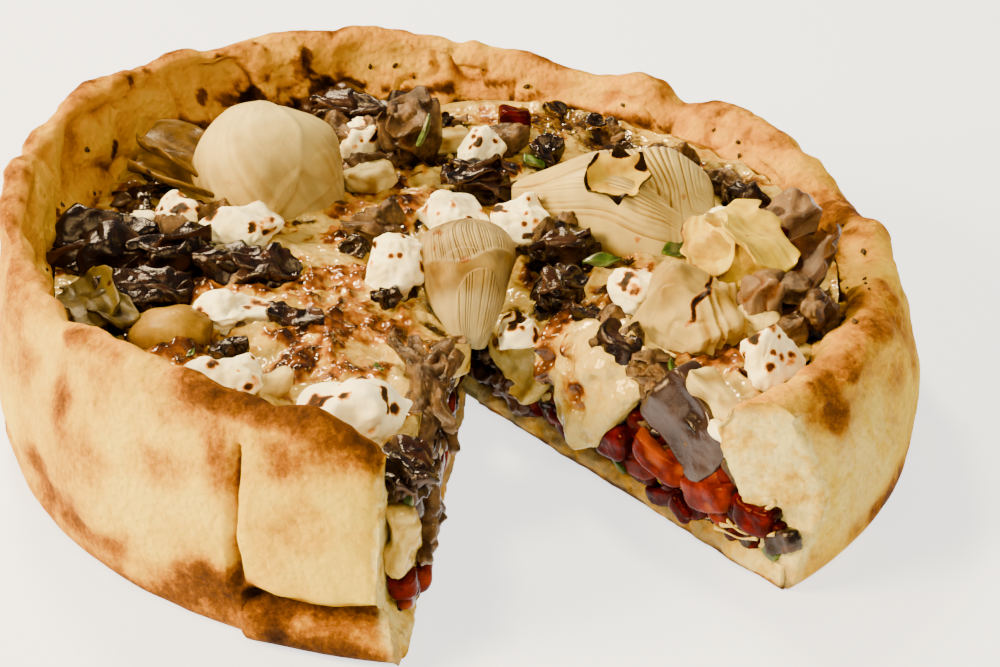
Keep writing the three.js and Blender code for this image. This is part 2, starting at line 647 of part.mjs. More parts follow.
/** Each piece as a mesh, cut back from every earlier piece that it would touch. */
const pizza = new THREE.Group();
const earlier = [];
pieces.forEach(({ name, colour, geometry }) => {
  geometry.computeBoundingBox();
  const room = geometry.boundingBox.clone().expandByScalar(1);
  let solid = solidOf(geometry);
  earlier
    .filter(({ box }) => box.intersectsBox(room))
    .forEach(({ grown }) => {
      solid = solid.subtract(grown);
    });
  earlier.push({ box: geometry.boundingBox, grown: solidOf(geometry, CUT_GAP) });
  const material = new THREE.MeshStandardMaterial({ color: colour, roughness: 0.6, metalness: 0 });
  const mesh = new THREE.Mesh(geometryOf(largest(solid)), material);
  mesh.name = name;
  pizza.add(mesh);
});

export default pizza;
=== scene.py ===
# %% [markdown]
# # Dressing a deep dish pizza
#
# The solids that come with this lesson are a ten-inch deep dish pizza with one slice taken out: a crust,
# three layers of filling and some fifty toppings. They are exact, but plain. Here each of them gets its
# real surface: blistered cheese, floury dough, scorched feta, oily aubergine.
#
# Everything is in the frame of the solids. The pizza stands on z = 0, the missing slice faces -Y, and
# azimuths are degrees from +X towards +Y. Lengths are millimetres until a mesh is made.

# %% Load the solids
import math
from itertools import product

import bmesh
import bpy
import numpy as np
from mathutils import Matrix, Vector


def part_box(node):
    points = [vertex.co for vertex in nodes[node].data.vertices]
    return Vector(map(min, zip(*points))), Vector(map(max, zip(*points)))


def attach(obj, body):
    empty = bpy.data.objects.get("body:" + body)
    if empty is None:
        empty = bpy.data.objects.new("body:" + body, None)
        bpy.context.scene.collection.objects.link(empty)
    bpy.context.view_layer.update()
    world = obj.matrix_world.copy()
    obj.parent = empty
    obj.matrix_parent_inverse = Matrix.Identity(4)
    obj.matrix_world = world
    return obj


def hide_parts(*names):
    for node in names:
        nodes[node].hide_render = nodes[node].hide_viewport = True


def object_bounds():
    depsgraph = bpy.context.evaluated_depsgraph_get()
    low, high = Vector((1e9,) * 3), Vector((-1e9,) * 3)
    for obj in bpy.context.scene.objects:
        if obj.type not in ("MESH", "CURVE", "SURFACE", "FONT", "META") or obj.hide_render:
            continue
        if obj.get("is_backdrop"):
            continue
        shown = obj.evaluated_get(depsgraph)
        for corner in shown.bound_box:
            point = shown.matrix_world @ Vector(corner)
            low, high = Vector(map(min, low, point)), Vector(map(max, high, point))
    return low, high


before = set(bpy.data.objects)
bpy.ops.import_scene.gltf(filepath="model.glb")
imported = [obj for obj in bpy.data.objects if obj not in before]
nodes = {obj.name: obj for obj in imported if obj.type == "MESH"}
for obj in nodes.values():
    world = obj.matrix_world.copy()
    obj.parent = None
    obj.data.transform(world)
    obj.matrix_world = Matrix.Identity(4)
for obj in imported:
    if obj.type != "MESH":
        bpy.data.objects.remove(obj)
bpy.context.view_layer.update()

MM = 0.001  # the script's sizes are millimetres, and Blender's are metres

# %% [markdown]
# ## Noise
#
# Food is uneven at every size. Blender's own noise could be asked point by point, but a grid of random
# numbers, smoothed between its corners, does the same for fifty thousand points at once. Each layer of
# noise is named by the size of its features in millimetres.

# %% Noise and easing
# large whole numbers without a pattern: one each for x, y, z and the seed, and one that stirs their sum
MIXERS, STIRRER = (374761393, 668265263, 1442695041, 974634777), 1274126177
LOW_BITS = 0xFFFF


def lattice(x, y, z, seed):
    """A repeatable random number from 0 to 1 for each whole-number place."""
    mixed = sum(number * mixer for number, mixer in zip((x, y, z, seed), MIXERS))
    mixed = (mixed ^ (mixed >> 13)) * STIRRER
    return ((mixed ^ (mixed >> 16)) & LOW_BITS) / LOW_BITS


def noise(points, size, seed=0):
    """Smooth noise from -1 to 1 whose features are about `size` across."""
    scaled = np.asarray(points, float) / size
    base = np.floor(scaled).astype(np.int64)
    share = scaled - base
    share = share * share * (3 - 2 * share)
    total = 0
    for corner in product((0, 1), repeat=3):
        weight = np.prod(np.where(corner, share, 1 - share), axis=-1)
        x, y, z = np.moveaxis(base + corner, -1, 0)
        total = total + weight * lattice(x, y, z, seed)
    return 2 * total - 1


def rough(points, size, seed=0, octaves=3):
    """Noise in octaves: each half the size and half the strength of the one before."""
    return sum(0.5**k * noise(points, size / 2**k, seed + k) for k in range(octaves))


def warped(points, size, amount, seed=0):
    """Moves points about by up to `amount`, alike over distances of `size`. This is what crumples a lump."""
    drift = np.stack([noise(points, size, seed + 17 * k) for k in range(3)], -1)
    return points + amount * drift


def cells(points, size, seed=0):
    """Distance from each point to the nearest of many scattered seeds, as a share of `size`, and that seed's
    own random number. Blisters and chunks start from this."""
    scaled = np.asarray(points, float) / size
    base = np.floor(scaled).astype(np.int64)
    nearest = np.full(scaled.shape[:-1], np.inf)
    which = np.zeros(scaled.shape[:-1])
    for step in product((-1, 0, 1), repeat=3):
        x, y, z = np.moveaxis(base + step, -1, 0)
        centre = np.stack([x, y, z], -1) + np.stack([lattice(x, y, z, seed + k) for k in range(3)], -1)
        far = np.linalg.norm(scaled - centre, axis=-1)
        closer = far < nearest
        nearest = np.where(closer, far, nearest)
        which = np.where(closer, lattice(x, y, z, seed + 3), which)
    return nearest, which


def spots(points, size, seed, share, reach=0.45):
    """1 in the middle of round spots, 0 outside them; only this share of the spots is there."""
    far, which = cells(points, size, seed)
    return (1 - rise(far, 0.3 * reach, reach)) * (which < share)


def rise(value, low, high):
    """Smooth step from 0 at `low` to 1 at `high`."""
    share = np.clip((value - low) / (high - low), 0, 1)
    return share * share * (3 - 2 * share)


def bump(offset, reach):
    """1 at offset 0, fading out over `reach`."""
    return np.exp(-((offset / reach) ** 2))


def unevenness(x, y=0.0, z=0.0, seed=0.0):
    """The gentle waves that the solids have."""
    waves = ((1.7, 0.9, 0.4), (-0.5, 1.3, -1.1), (0.8, -0.6, 1.5))
    parts = [np.sin(a * x + b * y + c * z + seed * (i + 1) + i) for i, (a, b, c) in enumerate(waves)]
    return sum(parts) / len(waves)


print("noise at the middle of the pizza:", round(float(noise([0.5, 0.5, 0.5], 1)), 3))

# %% [markdown]
# ## From points to a piece
#
# Shapes are worked out as arrays of points in millimetres. One function turns them into a mesh object,
# closes its seams and poles by merging points that share a place, and turns all faces outwards. Numbers
# that belong to a point, such as how brown the dough is there, are stored on the mesh as attributes,
# which the materials read.

# %% Mesh helpers
def grid_faces(rows, columns, first=0):
    """The quads of a grid of points that is stored row by row."""
    index = first + np.arange(rows * columns).reshape(rows, columns)
    corners = [index[:-1, :-1], index[1:, :-1], index[1:, 1:], index[:-1, 1:]]
    return np.stack(corners, -1).reshape(-1, 4)


def show(name, mesh):
    """A smooth-shaded object for a mesh."""
    mesh.shade_smooth()
    thing = bpy.data.objects.new(name, mesh)
    bpy.context.scene.collection.objects.link(thing)
    return thing


def make_piece(name, points, faces, marks=None, merge=0.02):
    """A mesh object from points in millimetres, closed and facing outwards."""
    mesh = bpy.data.meshes.new(name)
    corners = faces.tolist() if isinstance(faces, np.ndarray) else faces
    mesh.from_pydata((np.asarray(points) * MM).tolist(), [], corners)
    for mark, values in (marks or {}).items():
        layer = mesh.attributes.new(mark, "FLOAT", "POINT")
        layer.data.foreach_set("value", np.broadcast_to(values, len(points)).astype(np.float32))
    work = bmesh.new()
    work.from_mesh(mesh)
    bmesh.ops.remove_doubles(work, verts=work.verts, dist=merge * MM)
    bmesh.ops.recalc_face_normals(work, faces=work.faces)
    work.to_mesh(mesh)
    work.free()
    return show(name, mesh)


def points_of(thing):
    """A mesh's points in millimetres and its normals."""
    mesh = thing.data
    points = np.empty(3 * len(mesh.vertices))
    normals = np.empty(3 * len(mesh.vertices))
    mesh.vertices.foreach_get("co", points)
    mesh.vertex_normals.foreach_get("vector", normals)
    return points.reshape(-1, 3) / MM, normals.reshape(-1, 3)


def move_points(thing, points):
    """Puts a mesh's points at new places in millimetres."""
    thing.data.vertices.foreach_set("co", (points * MM).ravel())
    thing.data.update()


def mark_of(thing, mark):
    """The values of a mark, one for each point."""
    values = np.empty(len(thing.data.vertices), np.float32)
    thing.data.attributes[mark].data.foreach_get("value", values)
    return values.astype(float)


def set_mark(thing, mark, values):
    """Stores a mark from 0 to 1 for each point."""
    layer = thing.data.attributes.get(mark) or thing.data.attributes.new(mark, "FLOAT", "POINT")
    layer.data.foreach_set("value", np.clip(values, 0, 1).astype(np.float32))


def joined(parts):
    """Several (points, faces) as one."""
    points, faces, first = [], [], 0
    for some_points, some_faces in parts:
        points.append(some_points)
        faces += [[first + corner for corner in face] for face in some_faces]
        first += len(some_points)
    return np.concatenate(points), faces


def dress(thing, material, node, slot_name, **marks):
    """Gives a piece its material and its marks, and lets it stand for its solid, if it has one."""
    for mark, values in marks.items():
        set_mark(thing, mark, values)
    thing.data.materials.append(material)
    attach(thing, "root")
    if node:
        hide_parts(node)


print("a grid of 3 by 3 points has", len(grid_faces(3, 3)), "faces")

# %% [markdown]
# ## Building materials
#
# A material is a small tree of nodes. One function adds a node, sets it up and links it, so that each
# recipe below reads as a list of what the finish is made of. Colours are written as sRGB hex values and
# turned to linear.

# %% Material helpers
def paint(code):
    """An sRGB hex colour as Blender's linear RGBA."""
    channels = [int(code[i : i + 2], 16) / 255 for i in (1, 3, 5)]
    return [c / 12.92 if c <= 0.04045 else ((c + 0.055) / 1.055) ** 2.4 for c in channels] + [1]


def fill(node, inputs):
    """Sets a node's inputs, by name or number, to constants, to other nodes' outputs, or to other nodes, of
    which the first output is meant."""
    for name, value in inputs.items():
        if isinstance(name, str):
            socket = next(s for s in node.inputs if s.name == name and not s.is_unavailable)
        else:
            socket = node.inputs[name]
        if isinstance(value, bpy.types.Node):
            value = value.outputs[0]
        if isinstance(value, bpy.types.NodeSocket):
            node.id_data.links.new(value, socket)
        elif isinstance(value, str) and value.startswith("#"):
            socket.default_value = paint(value)
        else:
            socket.default_value = value


def add(tree, kind, inputs=None, ramp=None, **settings):
    """Adds a node. Its kind is Blender's name for it, where ShaderNode may be left out. Settings are its
    properties, and a ramp is a list of (place, colour)."""
    made = tree.nodes.new(kind if "Node" in kind else "ShaderNode" + kind)
    for name, value in settings.items():
        setattr(made, name, value)
    fill(made, inputs or {})
    if ramp:
        points = made.color_ramp.elements
        while len(points) < len(ramp):
            points.new(0.5)
        for point, (place, code) in zip(points, ramp):
            point.position = place
            point.color = paint(code)
    return made


def new_material(name):
    """An empty material: its tree, its surface shader and where its patterns are placed."""
    material = bpy.data.materials.new(name)
    material.use_nodes = True
    tree = material.node_tree
    tree.nodes.clear()
    shader = add(tree, "BsdfPrincipled")
    add(tree, "OutputMaterial", {"Surface": shader})
    place = add(tree, "TexCoord").outputs["Object"]
    return material, tree, shader, place


def per_mm(size):
    """Noise scale for features of `size` millimetres, for patterns on Object coordinates."""
    return 1 / (size * MM)


print("cream in linear light:", [round(channel, 2) for channel in paint("#f8d43a")[:3]])

# %% [markdown]
# ### Baked dough
#
# Deep dish dough is bread: cream where it only set, gold where the pan touched it, brown where it stood
# up into the hot air. It is matt and floury. The mesh says how brown each place is ("brown"), where the
# wall steamed against the filling ("steamed"), and where it is cut, so that the pale crumb shows
# ("crumb"). An image texture could carry all that, but marks on the mesh need no unwrapping. Fine noise
# breaks them up, as flour and small pits do.

# %% Baked dough
# sizes in millimetres of flour specks, brown mottles and pits, and how high they stand
FLOUR_SPECKS, MOTTLES, PITS, GRAIN_HEIGHT = 1.6, 7.0, 2.0, 1.9
# how far the specks and the mottles shift the browning, and how much of that shift even pale dough shows
SPECKLED, MOTTLED, SHOWN_AT_PALEST, SHOWN_BY_BROWN = 0.8, 0.7, 0.14, 1.5
CRUST_COLOURS = [
    (0.0, "#f8d43a"), (0.12, "#ecb914"), (0.24, "#cd9202"), (0.36, "#a36200"),
    (0.50, "#70400f"), (0.70, "#4e2d14"), (1.0, "#200f08"),
]
CRUMB_COLOURS = [(0.3, "#cc9428"), (0.42, "#e8c24c"), (0.55, "#fae694"), (0.68, "#f2d670"), (0.8, "#d6a23c")]
STEAMED_GOLD = "#eea21c"


def baked_dough():
    """Bread crust: so matt that it shows its colour and hardly any gloss."""
    material, tree, shader, place = new_material("baked_bread_dough")
    speckle = add(
        tree, "TexNoise",
        {"Vector": place, "Scale": per_mm(FLOUR_SPECKS), "Detail": 6.0, "Roughness": 0.75},
    )
    mottle = add(
        tree, "TexNoise", {"Vector": place, "Scale": per_mm(MOTTLES), "Detail": 5.0, "Roughness": 0.65},
    )
    pits = add(tree, "TexVoronoi", {"Vector": place, "Scale": per_mm(PITS)}, feature="SMOOTH_F1")
    broken = add(tree, "Math", {0: speckle, 1: SPECKLED, 2: -SPECKLED / 2}, operation="MULTIPLY_ADD")
    blotchy = add(tree, "Math", {0: mottle, 1: MOTTLED, 2: -MOTTLED / 2}, operation="MULTIPLY_ADD")
    uneven = add(tree, "Math", {0: broken, 1: blotchy})
    brown, steamed, crumb = (
        add(tree, "Attribute", attribute_name=mark).outputs["Fac"]
        for mark in ("brown", "steamed", "crumb")
    )
    stronger = add(
        tree, "Math", {0: brown, 1: SHOWN_BY_BROWN, 2: SHOWN_AT_PALEST},
        operation="MULTIPLY_ADD", use_clamp=True,
    )
    shifted = add(tree, "Math", {0: uneven, 1: stronger}, operation="MULTIPLY")
    level = add(tree, "Math", {0: brown, 1: shifted}, use_clamp=True)
    crust = add(tree, "ValToRGB", {"Fac": level}, ramp=CRUST_COLOURS)
    inside = add(tree, "ValToRGB", {"Fac": mottle}, ramp=CRUMB_COLOURS)
    warmer = add(tree, "Mix", {"Factor": steamed, "A": crust, "B": STEAMED_GOLD}, data_type="RGBA")
    both = add(tree, "Mix", {"Factor": crumb, "A": warmer.outputs[2], "B": inside}, data_type="RGBA")
    grain = add(tree, "Math", {0: speckle, 1: pits})
    relief = add(tree, "Bump", {"Height": grain, "Strength": 1.0, "Distance": GRAIN_HEIGHT * MM})
    looks = {
        "Base Color": both.outputs[2], "Normal": relief, "Roughness": 0.75,
        "Specular IOR Level": 0.06, "Specular Tint": "#ffc860", "Subsurface Weight": 0.1,
        "Subsurface Radius": (1.0, 0.6, 0.3), "Subsurface Scale": 1.5 * MM,
    }
    fill(shader, looks)
    return material


dough = baked_dough()
print("dough:", len(dough.node_tree.nodes), "nodes")

# %% [markdown]
# ### Melted mozzarella
#
# Mozzarella melts to a glossy cream sheet, lets light in a little, and blisters: the tops of its bubbles
# dry and turn red-brown. "roast" says how far a place has browned. A second mark says where the cheese
# is so thin that the dark vegetables show through it, and it also carries painted shadow: the dark gaps
# round the toppings and at the foot of the wall. Domes and ripples of a few millimetres are a bump,
# because what shows of them is how they break up the highlights.

# %% Melted mozzarella
# sizes in millimetres of the fine mottle, the small domes, the ripples and the vegetables below
CHEESE_MOTTLE, DOMES, RIPPLES, PATCHES = 2.4, 3.3, 5.0, 5.0
DOME_HEIGHT = 1.8  # millimetres, higher than life, so that the highlights break up at this distance
CHEESE_COLOURS = [
    (0.0, "#bda352"), (0.14, "#b39030"), (0.25, "#a07212"),
    (0.36, "#884e06"), (0.50, "#5a2e05"), (0.74, "#281004"),
]
# dark vegetables under thin cheese; the same colours paint shadow in the gaps round the toppings
BARE_AND_SHADE_COLOURS = [(0.30, "#0c0503"), (0.44, "#20120a"), (0.54, "#3e2611"), (0.64, "#75521f"), (0.76, "#b0903e")]


def melted_mozzarella():
    """Oily cheese: a sharp highlight on each ripple, and a little light inside it."""
    material, tree, shader, place = new_material("melted_mozzarella")
    roast, bare = (
        add(tree, "Attribute", attribute_name=mark).outputs["Fac"] for mark in ("roast", "bare")
    )
    fine = add(
        tree, "TexNoise",
        {"Vector": place, "Scale": per_mm(CHEESE_MOTTLE), "Detail": 5.0, "Roughness": 0.6},
    )
    pebbles = add(tree, "TexVoronoi", {"Vector": place, "Scale": per_mm(DOMES)}, feature="SMOOTH_F1")
    dome = add(tree, "Math", {0: pebbles, 1: -1.0, 2: 0.45}, operation="MULTIPLY_ADD")
    domed = add(tree, "Math", {0: dome, 1: roast}, operation="MULTIPLY")
    broken = add(tree, "Math", {0: fine, 1: 0.7, 2: -0.35}, operation="MULTIPLY_ADD")
    uneven = add(tree, "Math", {0: domed, 1: broken})
    level = add(tree, "Math", {0: roast, 1: uneven}, use_clamp=True)
    cheese = add(tree, "ValToRGB", {"Fac": level}, ramp=CHEESE_COLOURS)
    patch = add(
        tree, "TexNoise", {"Vector": place, "Scale": per_mm(PATCHES), "Detail": 5.0, "Roughness": 0.65},
    )
    under = add(tree, "ValToRGB", {"Fac": patch}, ramp=BARE_AND_SHADE_COLOURS)
    edge = add(tree, "Math", {0: fine, 1: 0.9, 2: -0.45}, operation="MULTIPLY_ADD")
    where = add(tree, "Math", {0: bare, 1: edge}, use_clamp=True)
    sharp = add(tree, "MapRange", {"Value": where, "From Min": 0.35, "From Max": 0.6})
    both = add(tree, "Mix", {"Factor": sharp, "A": cheese, "B": under}, data_type="RGBA")
    ripples = add(
        tree, "TexNoise", {"Vector": place, "Scale": per_mm(RIPPLES), "Detail": 2.0, "Roughness": 0.5},
    )
    height = add(tree, "Math", {0: domed, 1: 1.6, 2: ripples}, operation="MULTIPLY_ADD")
    relief = add(tree, "Bump", {"Height": height, "Strength": 1.0, "Distance": DOME_HEIGHT * MM})
    looks = {
        "Base Color": both.outputs[2], "Normal": relief, "Roughness": 0.16,
        "Specular IOR Level": 0.4, "Specular Tint": "#ffe8b8", "Subsurface Weight": 0.12,
        "Subsurface Radius": (1.0, 0.7, 0.35), "Subsurface Scale": 1.5 * MM,
    }
    fill(shader, looks)
    return material


mozzarella = melted_mozzarella()
print("mozzarella:", len(mozzarella.node_tree.nodes), "nodes")

# %% [markdown]
# ### Vegetables, feta and leaves
#
# The other finishes share one recipe: a colour from noise, a second colour where the mesh is marked
# ("char" for scorching, "pale" for flesh or ribs), a fine relief, and a gloss. What differs is the food:
# feta is chalky, aubergine oily and almost black, pepper wet and red. One function with a few settings
# says so better than a dozen trees that are nearly alike.

# %% Food recipe
FINE_GRAIN = 1.3  # millimetres
SCORCH_HALO, BURNT = "#e0a030", "#140805"


def food(
    name, colours, grain, marked, rough, depth, soft=0.0,
    pale="#8f6f34", shine=0.5, sheen="#ffdf9a", gloss=0.0,
):
    """A food finish. colours is a ramp, grain the size in millimetres of its larger pattern, marked the
    colour of scorched places, pale that of flesh or ribs, depth the height of its fine relief in
    millimetres, and soft how far light goes in."""
    material, tree, shader, place = new_material(name)
    broad = add(tree, "TexNoise", {"Vector": place, "Scale": per_mm(grain), "Detail": 6.0, "Roughness": 0.6})
    fine = add(
        tree, "TexNoise", {"Vector": place, "Scale": per_mm(FINE_GRAIN), "Detail": 4.0, "Roughness": 0.7},
    )
    ribs, char = (
        add(tree, "Attribute", attribute_name=mark).outputs["Fac"] for mark in ("pale", "char")
    )
    base = add(tree, "ValToRGB", {"Fac": broad}, ramp=colours)
    ribbed = add(tree, "Mix", {"Factor": ribs, "A": base, "B": pale}, data_type="RGBA")
    broken = add(tree, "Math", {0: fine, 1: 0.5, 2: -0.25}, operation="MULTIPLY_ADD")
    where = add(tree, "Math", {0: char, 1: broken}, use_clamp=True)
    scorch = add(
        tree, "ValToRGB", {"Fac": where},
        ramp=[(0.0, "#ffffff"), (0.22, "#ffffff"), (0.42, SCORCH_HALO), (0.58, marked), (0.8, BURNT)],
    )
    scorched = add(
        tree, "Mix", {"Factor": 1.0, "A": ribbed.outputs[2], "B": scorch},
        data_type="RGBA", blend_type="MULTIPLY",
    )
    height = add(tree, "Math", {0: fine, 1: broad})
    relief = add(tree, "Bump", {"Height": height, "Strength": 0.6, "Distance": depth * MM})
    looks = {
        "Base Color": scorched.outputs[2], "Normal": relief, "Roughness": rough,
        "Specular IOR Level": shine, "Specular Tint": sheen, "Coat Weight": gloss, "Coat Roughness": 0.12,
        "Subsurface Weight": soft, "Subsurface Radius": (1.0, 0.7, 0.4), "Subsurface Scale": 2 * MM,
    }
    fill(shader, looks)
    return material


print("scorches go from", SCORCH_HALO, "to", BURNT)

# %% [markdown]
# Each food then says what it is: its colours from the darkest to the lightest, how coarse and how glossy
# it is, and what it turns to where it scorches.

# %% Food finishes
# crumbly cheese: chalky white, with red-brown scorches
feta = food(
    "baked_feta_cheese", [(0.3, "#f0dc98"), (0.45, "#fff2bc"), (0.7, "#fffae0")],
    grain=6, marked="#50260a", rough=0.55, depth=0.4, soft=0.2, shine=0.25,
)
# steamed scales: cream over olive gold, with a faint moist sheen
artichoke_flesh = food(
    "steamed_artichoke_heart", [(0.3, "#5c3e06"), (0.45, "#7a580d"), (0.6, "#967215"), (0.75, "#aa8626")],
    grain=12, marked="#5f2a0c", rough=0.36, depth=0.3, soft=0.12, pale="#cfbc76", shine=0.12,
)
# the same, painted greyer and darker as the shade on the halved heart in the middle
shaded_heart = food(
    "shaded_artichoke_heart", [(0.3, "#4a3208"), (0.45, "#644812"), (0.6, "#7c5e1c"), (0.75, "#8e702a")],
    grain=8, marked="#5f2a0c", rough=0.36, depth=0.3, soft=0.12, pale="#b4a470", shine=0.12,
)
# thin leaves: brown with paler ribs, and darker still as painted shade where they lie against the dome; then
# olive, dried almost black, or golden
artichoke_leaf = food(
    "artichoke_leaf", [(0.3, "#2a1a03"), (0.45, "#432c05"), (0.6, "#5c4009"), (0.75, "#705214")],
    grain=6, marked="#3a1a08", rough=0.36, depth=0.25, soft=0.1, pale="#7c5c1c", shine=0.2,
)
olive_leaf = food(
    "olive_artichoke_leaf", [(0.3, "#1c1301"), (0.45, "#302402"), (0.6, "#463706"), (0.75, "#54450c")],
    grain=5, marked="#3a1a08", rough=0.35, depth=0.25, soft=0.1, pale="#5e4f16", shine=0.12,
)
dried_leaf = food(
    "dried_brown_leaf", [(0.3, "#140802"), (0.45, "#261103"), (0.6, "#3a1d05"), (0.75, "#522e08")],
    grain=6, marked="#1c0a06", rough=0.32, depth=0.35, soft=0.1, pale="#523208", shine=0.15,
)
golden_leaf = food(
    "golden_artichoke_leaf", [(0.3, "#8e6002"), (0.45, "#b48c04"), (0.6, "#ccaa0a"), (0.75, "#d8ba18")],
    grain=6, marked="#3a1a08", rough=0.36, depth=0.25, soft=0.1, pale="#dcc84a", shine=0.12,
)
# oily skin: almost black, with small sharp highlights
aubergine_skin = food(
    "oily_aubergine_skin", [(0.3, "#060202"), (0.48, "#0e0605"), (0.6, "#1c0e0a"), (0.75, "#321c12")],
    grain=4, marked="#0a0504", rough=0.14, depth=0.35, pale="#4a2d1c", shine=0.34, sheen="#ffe6cc",
)
# a wet slice: smoother, so it mirrors what is bright around it
peeled_skin = food(
    "wet_aubergine_slice", [(0.3, "#0a0504"), (0.48, "#140b09"), (0.6, "#20130f"), (0.75, "#30201a")],
    grain=9, marked="#0a0504", rough=0.18, depth=0.25, pale="#4c362c", shine=0.5, sheen="#ffe6d0",
)
# stewed flesh: brown, soft and fibrous
aubergine_flesh = food(
    "braised_aubergine_flesh", [(0.3, "#1a0e07"), (0.45, "#321f10"), (0.58, "#4d351c"), (0.75, "#705230")],
    grain=4, marked="#1a0b07", rough=0.22, depth=0.8, pale="#806244", shine=0.3,
)
# roasted pepper: deep red or orange under a wet skin, painted darker still as the shade of the cut faces
# where most of it lies
red_pepper = food(
    "roasted_red_pepper_in_painted_shade", [(0.3, "#100101"), (0.5, "#2c0201"), (0.7, "#560401")],
    grain=5, marked="#2a0603", rough=0.1, depth=0.2, pale="#5c1202", shine=0.08, sheen="#ff9050",
)
orange_pepper = food(
    "roasted_orange_pepper_in_painted_shade", [(0.3, "#2a0601"), (0.5, "#500e01"), (0.7, "#701e02")],
    grain=5, marked="#4a1404", rough=0.1, depth=0.2, pale="#8a3c04", shine=0.08, sheen="#ffa050",
)
# wilted leaf: dark green with a waxy gloss
herb = food(
    "wilted_herb_leaf", [(0.3, "#0c1604"), (0.5, "#20380a"), (0.7, "#446214")],
    grain=3, marked="#101404", rough=0.4, depth=0.2, pale="#4f6a1c", gloss=0.15,
)
# burnt crumbs: dull and black-brown
charcoal = food(
    "charred_crumb", [(0.3, "#060302"), (0.5, "#180a05"), (0.7, "#351808")],
    grain=2, marked="#0a0402", rough=0.5, depth=0.3,
)
print(len(bpy.data.materials), "materials")

# %% [markdown]
# ## The crust
#
# Two outlines of the same number of points run from the middle of the base to the crest of the rim: one
# under and outside, one over and inside. Swept round from one cut to the other they give the whole crust,
# and the strip between them closes each cut face. A Screw modifier would sweep one fixed outline, but
# here the outline changes with the azimuth: the rim dips, the wall leans, and its end is folded round.

# %% Crust dimensions
CUT_RIGHT, CUT_LEFT, WALL_END_LEFT = -48.0, 264.5, 262.5
BASE_RADIUS, FOOT_RADIUS, BASE_THICKNESS = 130.0, 126.0, 7.0
CREST_RADIUS, CREST_LEAN, CREST_LEAN_AT = 125.5, 2.5, 145.0
RIM_HEIGHT, RIM_TILT, RIM_HIGHEST_AT = 60.0, 11.0, 175.0
CREST_THICKNESS, CREST_EXTRA, CROWN_HEIGHT = 12.0, 4.0, 6.0
WALL_BULGE, LIP_PANEL_BULGE = 1.6, 1.8
INNER_FOOT_RADIUS = 118.0
LIP_FROM, LIP_OUT, LIP_TOP, LIP_GAP_DEPTH = 247.0, 3.5, 10.0, 5.0
FILLING_RADIUS, FILLING_SHIFT = 110.0, 4.5
PEPPER_TOP, AUBERGINE_TOP, CHEESE_TOP = 20.0, 33.0, 42.0
# azimuth, reach before and after it, and depth of each dip in the rim
RIM_DIPS = [(78, 12, 13, 6), (56, 4, 4, 6.5), (21, 6, 6, 5.5), (209, 16, 14, 7.5), (266, 6, 6, 7)]
# azimuth, width, depth, lowest and highest point of each crease, and whether it is on the inside
CREASES = [
    (92, 2.2, 3.2, 40, 80, True),
    (57, 2.2, 2.6, 30, 80, True),
    (33, 2.4, 2.2, 34, 80, True),
    (14, 2.4, 3.0, 30, 80, True),
    (-8, 2.4, 2.6, 36, 80, True),
    (132, 2.4, 2.2, 50, 80, True),
    (246, 0.7, 4.5, 15, 56, False),
]
SHOWS_OUTSIDE = 0.4  # how much of an inner crease the outside follows


def rim_height(azimuth):
    """Height of the rim: tilted, with dips."""
    height = RIM_HEIGHT + RIM_TILT * np.cos(np.radians(azimuth - RIM_HIGHEST_AT))
    for at, before, after, depth in RIM_DIPS:
        height = height - depth * bump(azimuth - at, np.where(azimuth < at, before, after))
    return height + unevenness(azimuth / 4)


def crease_depth(azimuth, height, inside):
    """How deep the creases go into one side of the wall."""
    depth = 0
    for at, width, deep, low, high, on_inside in CREASES:
        if inside and not on_inside:
            continue
        share = 1 if inside or not on_inside else SHOWS_OUTSIDE
        reach = rise(height, low - 5, low + 5) * (1 - rise(height, high - 5, high))
        depth = depth + share * deep * bump(azimuth - at, width) * reach
    return depth


def filling_edge(azimuth):
    """Radius at which the top of the cheese meets the wall."""
    return FILLING_RADIUS - FILLING_SHIFT * np.cos(np.radians(azimuth))


def inner_wall(azimuth, height):
    """Radius of the inside of the wall, from the base to the cheese."""
    leans_in = filling_edge(azimuth) - INNER_FOOT_RADIUS
    return INNER_FOOT_RADIUS + leans_in * (height - BASE_THICKNESS) / (CHEESE_TOP + 1 - BASE_THICKNESS)


print("rim:", [round(float(rim_height(azimuth))) for azimuth in (0, 90, 180)], "mm at 0, 90 and 180 degrees")

# %% [markdown]
# Each outline is put together from parts that follow one another: the underside, the rounded edge, the
# wall and the crown on the outside, and the floor, the foot of the wall, the wall and the crown on the
# inside. Near the left cut the wall has split from the base, so there the edge stands out as a lip with a
# gap above it.

# %% Crust outlines
WALL_ROWS, CROWN_ROWS, FOOT_ROWS = 44, 10, 10
UNDER_RADII = np.array([0, 35, 70, 100, 120, FOOT_RADIUS])
FLOOR_RADII = np.array([0, 35, 70, 95, 106, 112])
EDGE_HEIGHTS = np.array([0.4, 1.2, 2.4, 3.7, 5, 7, 9, 10, 11.5, 13])
EDGE_ROUNDING, WALL_FROM, GAP_CLOSES_AT = 5, 15, 19
FOOT_STOPS_AT, FOOT_HEIGHT = INNER_FOOT_RADIUS - 1.4, 7
WAVES = 0.9  # millimetres, of the outside of the wall


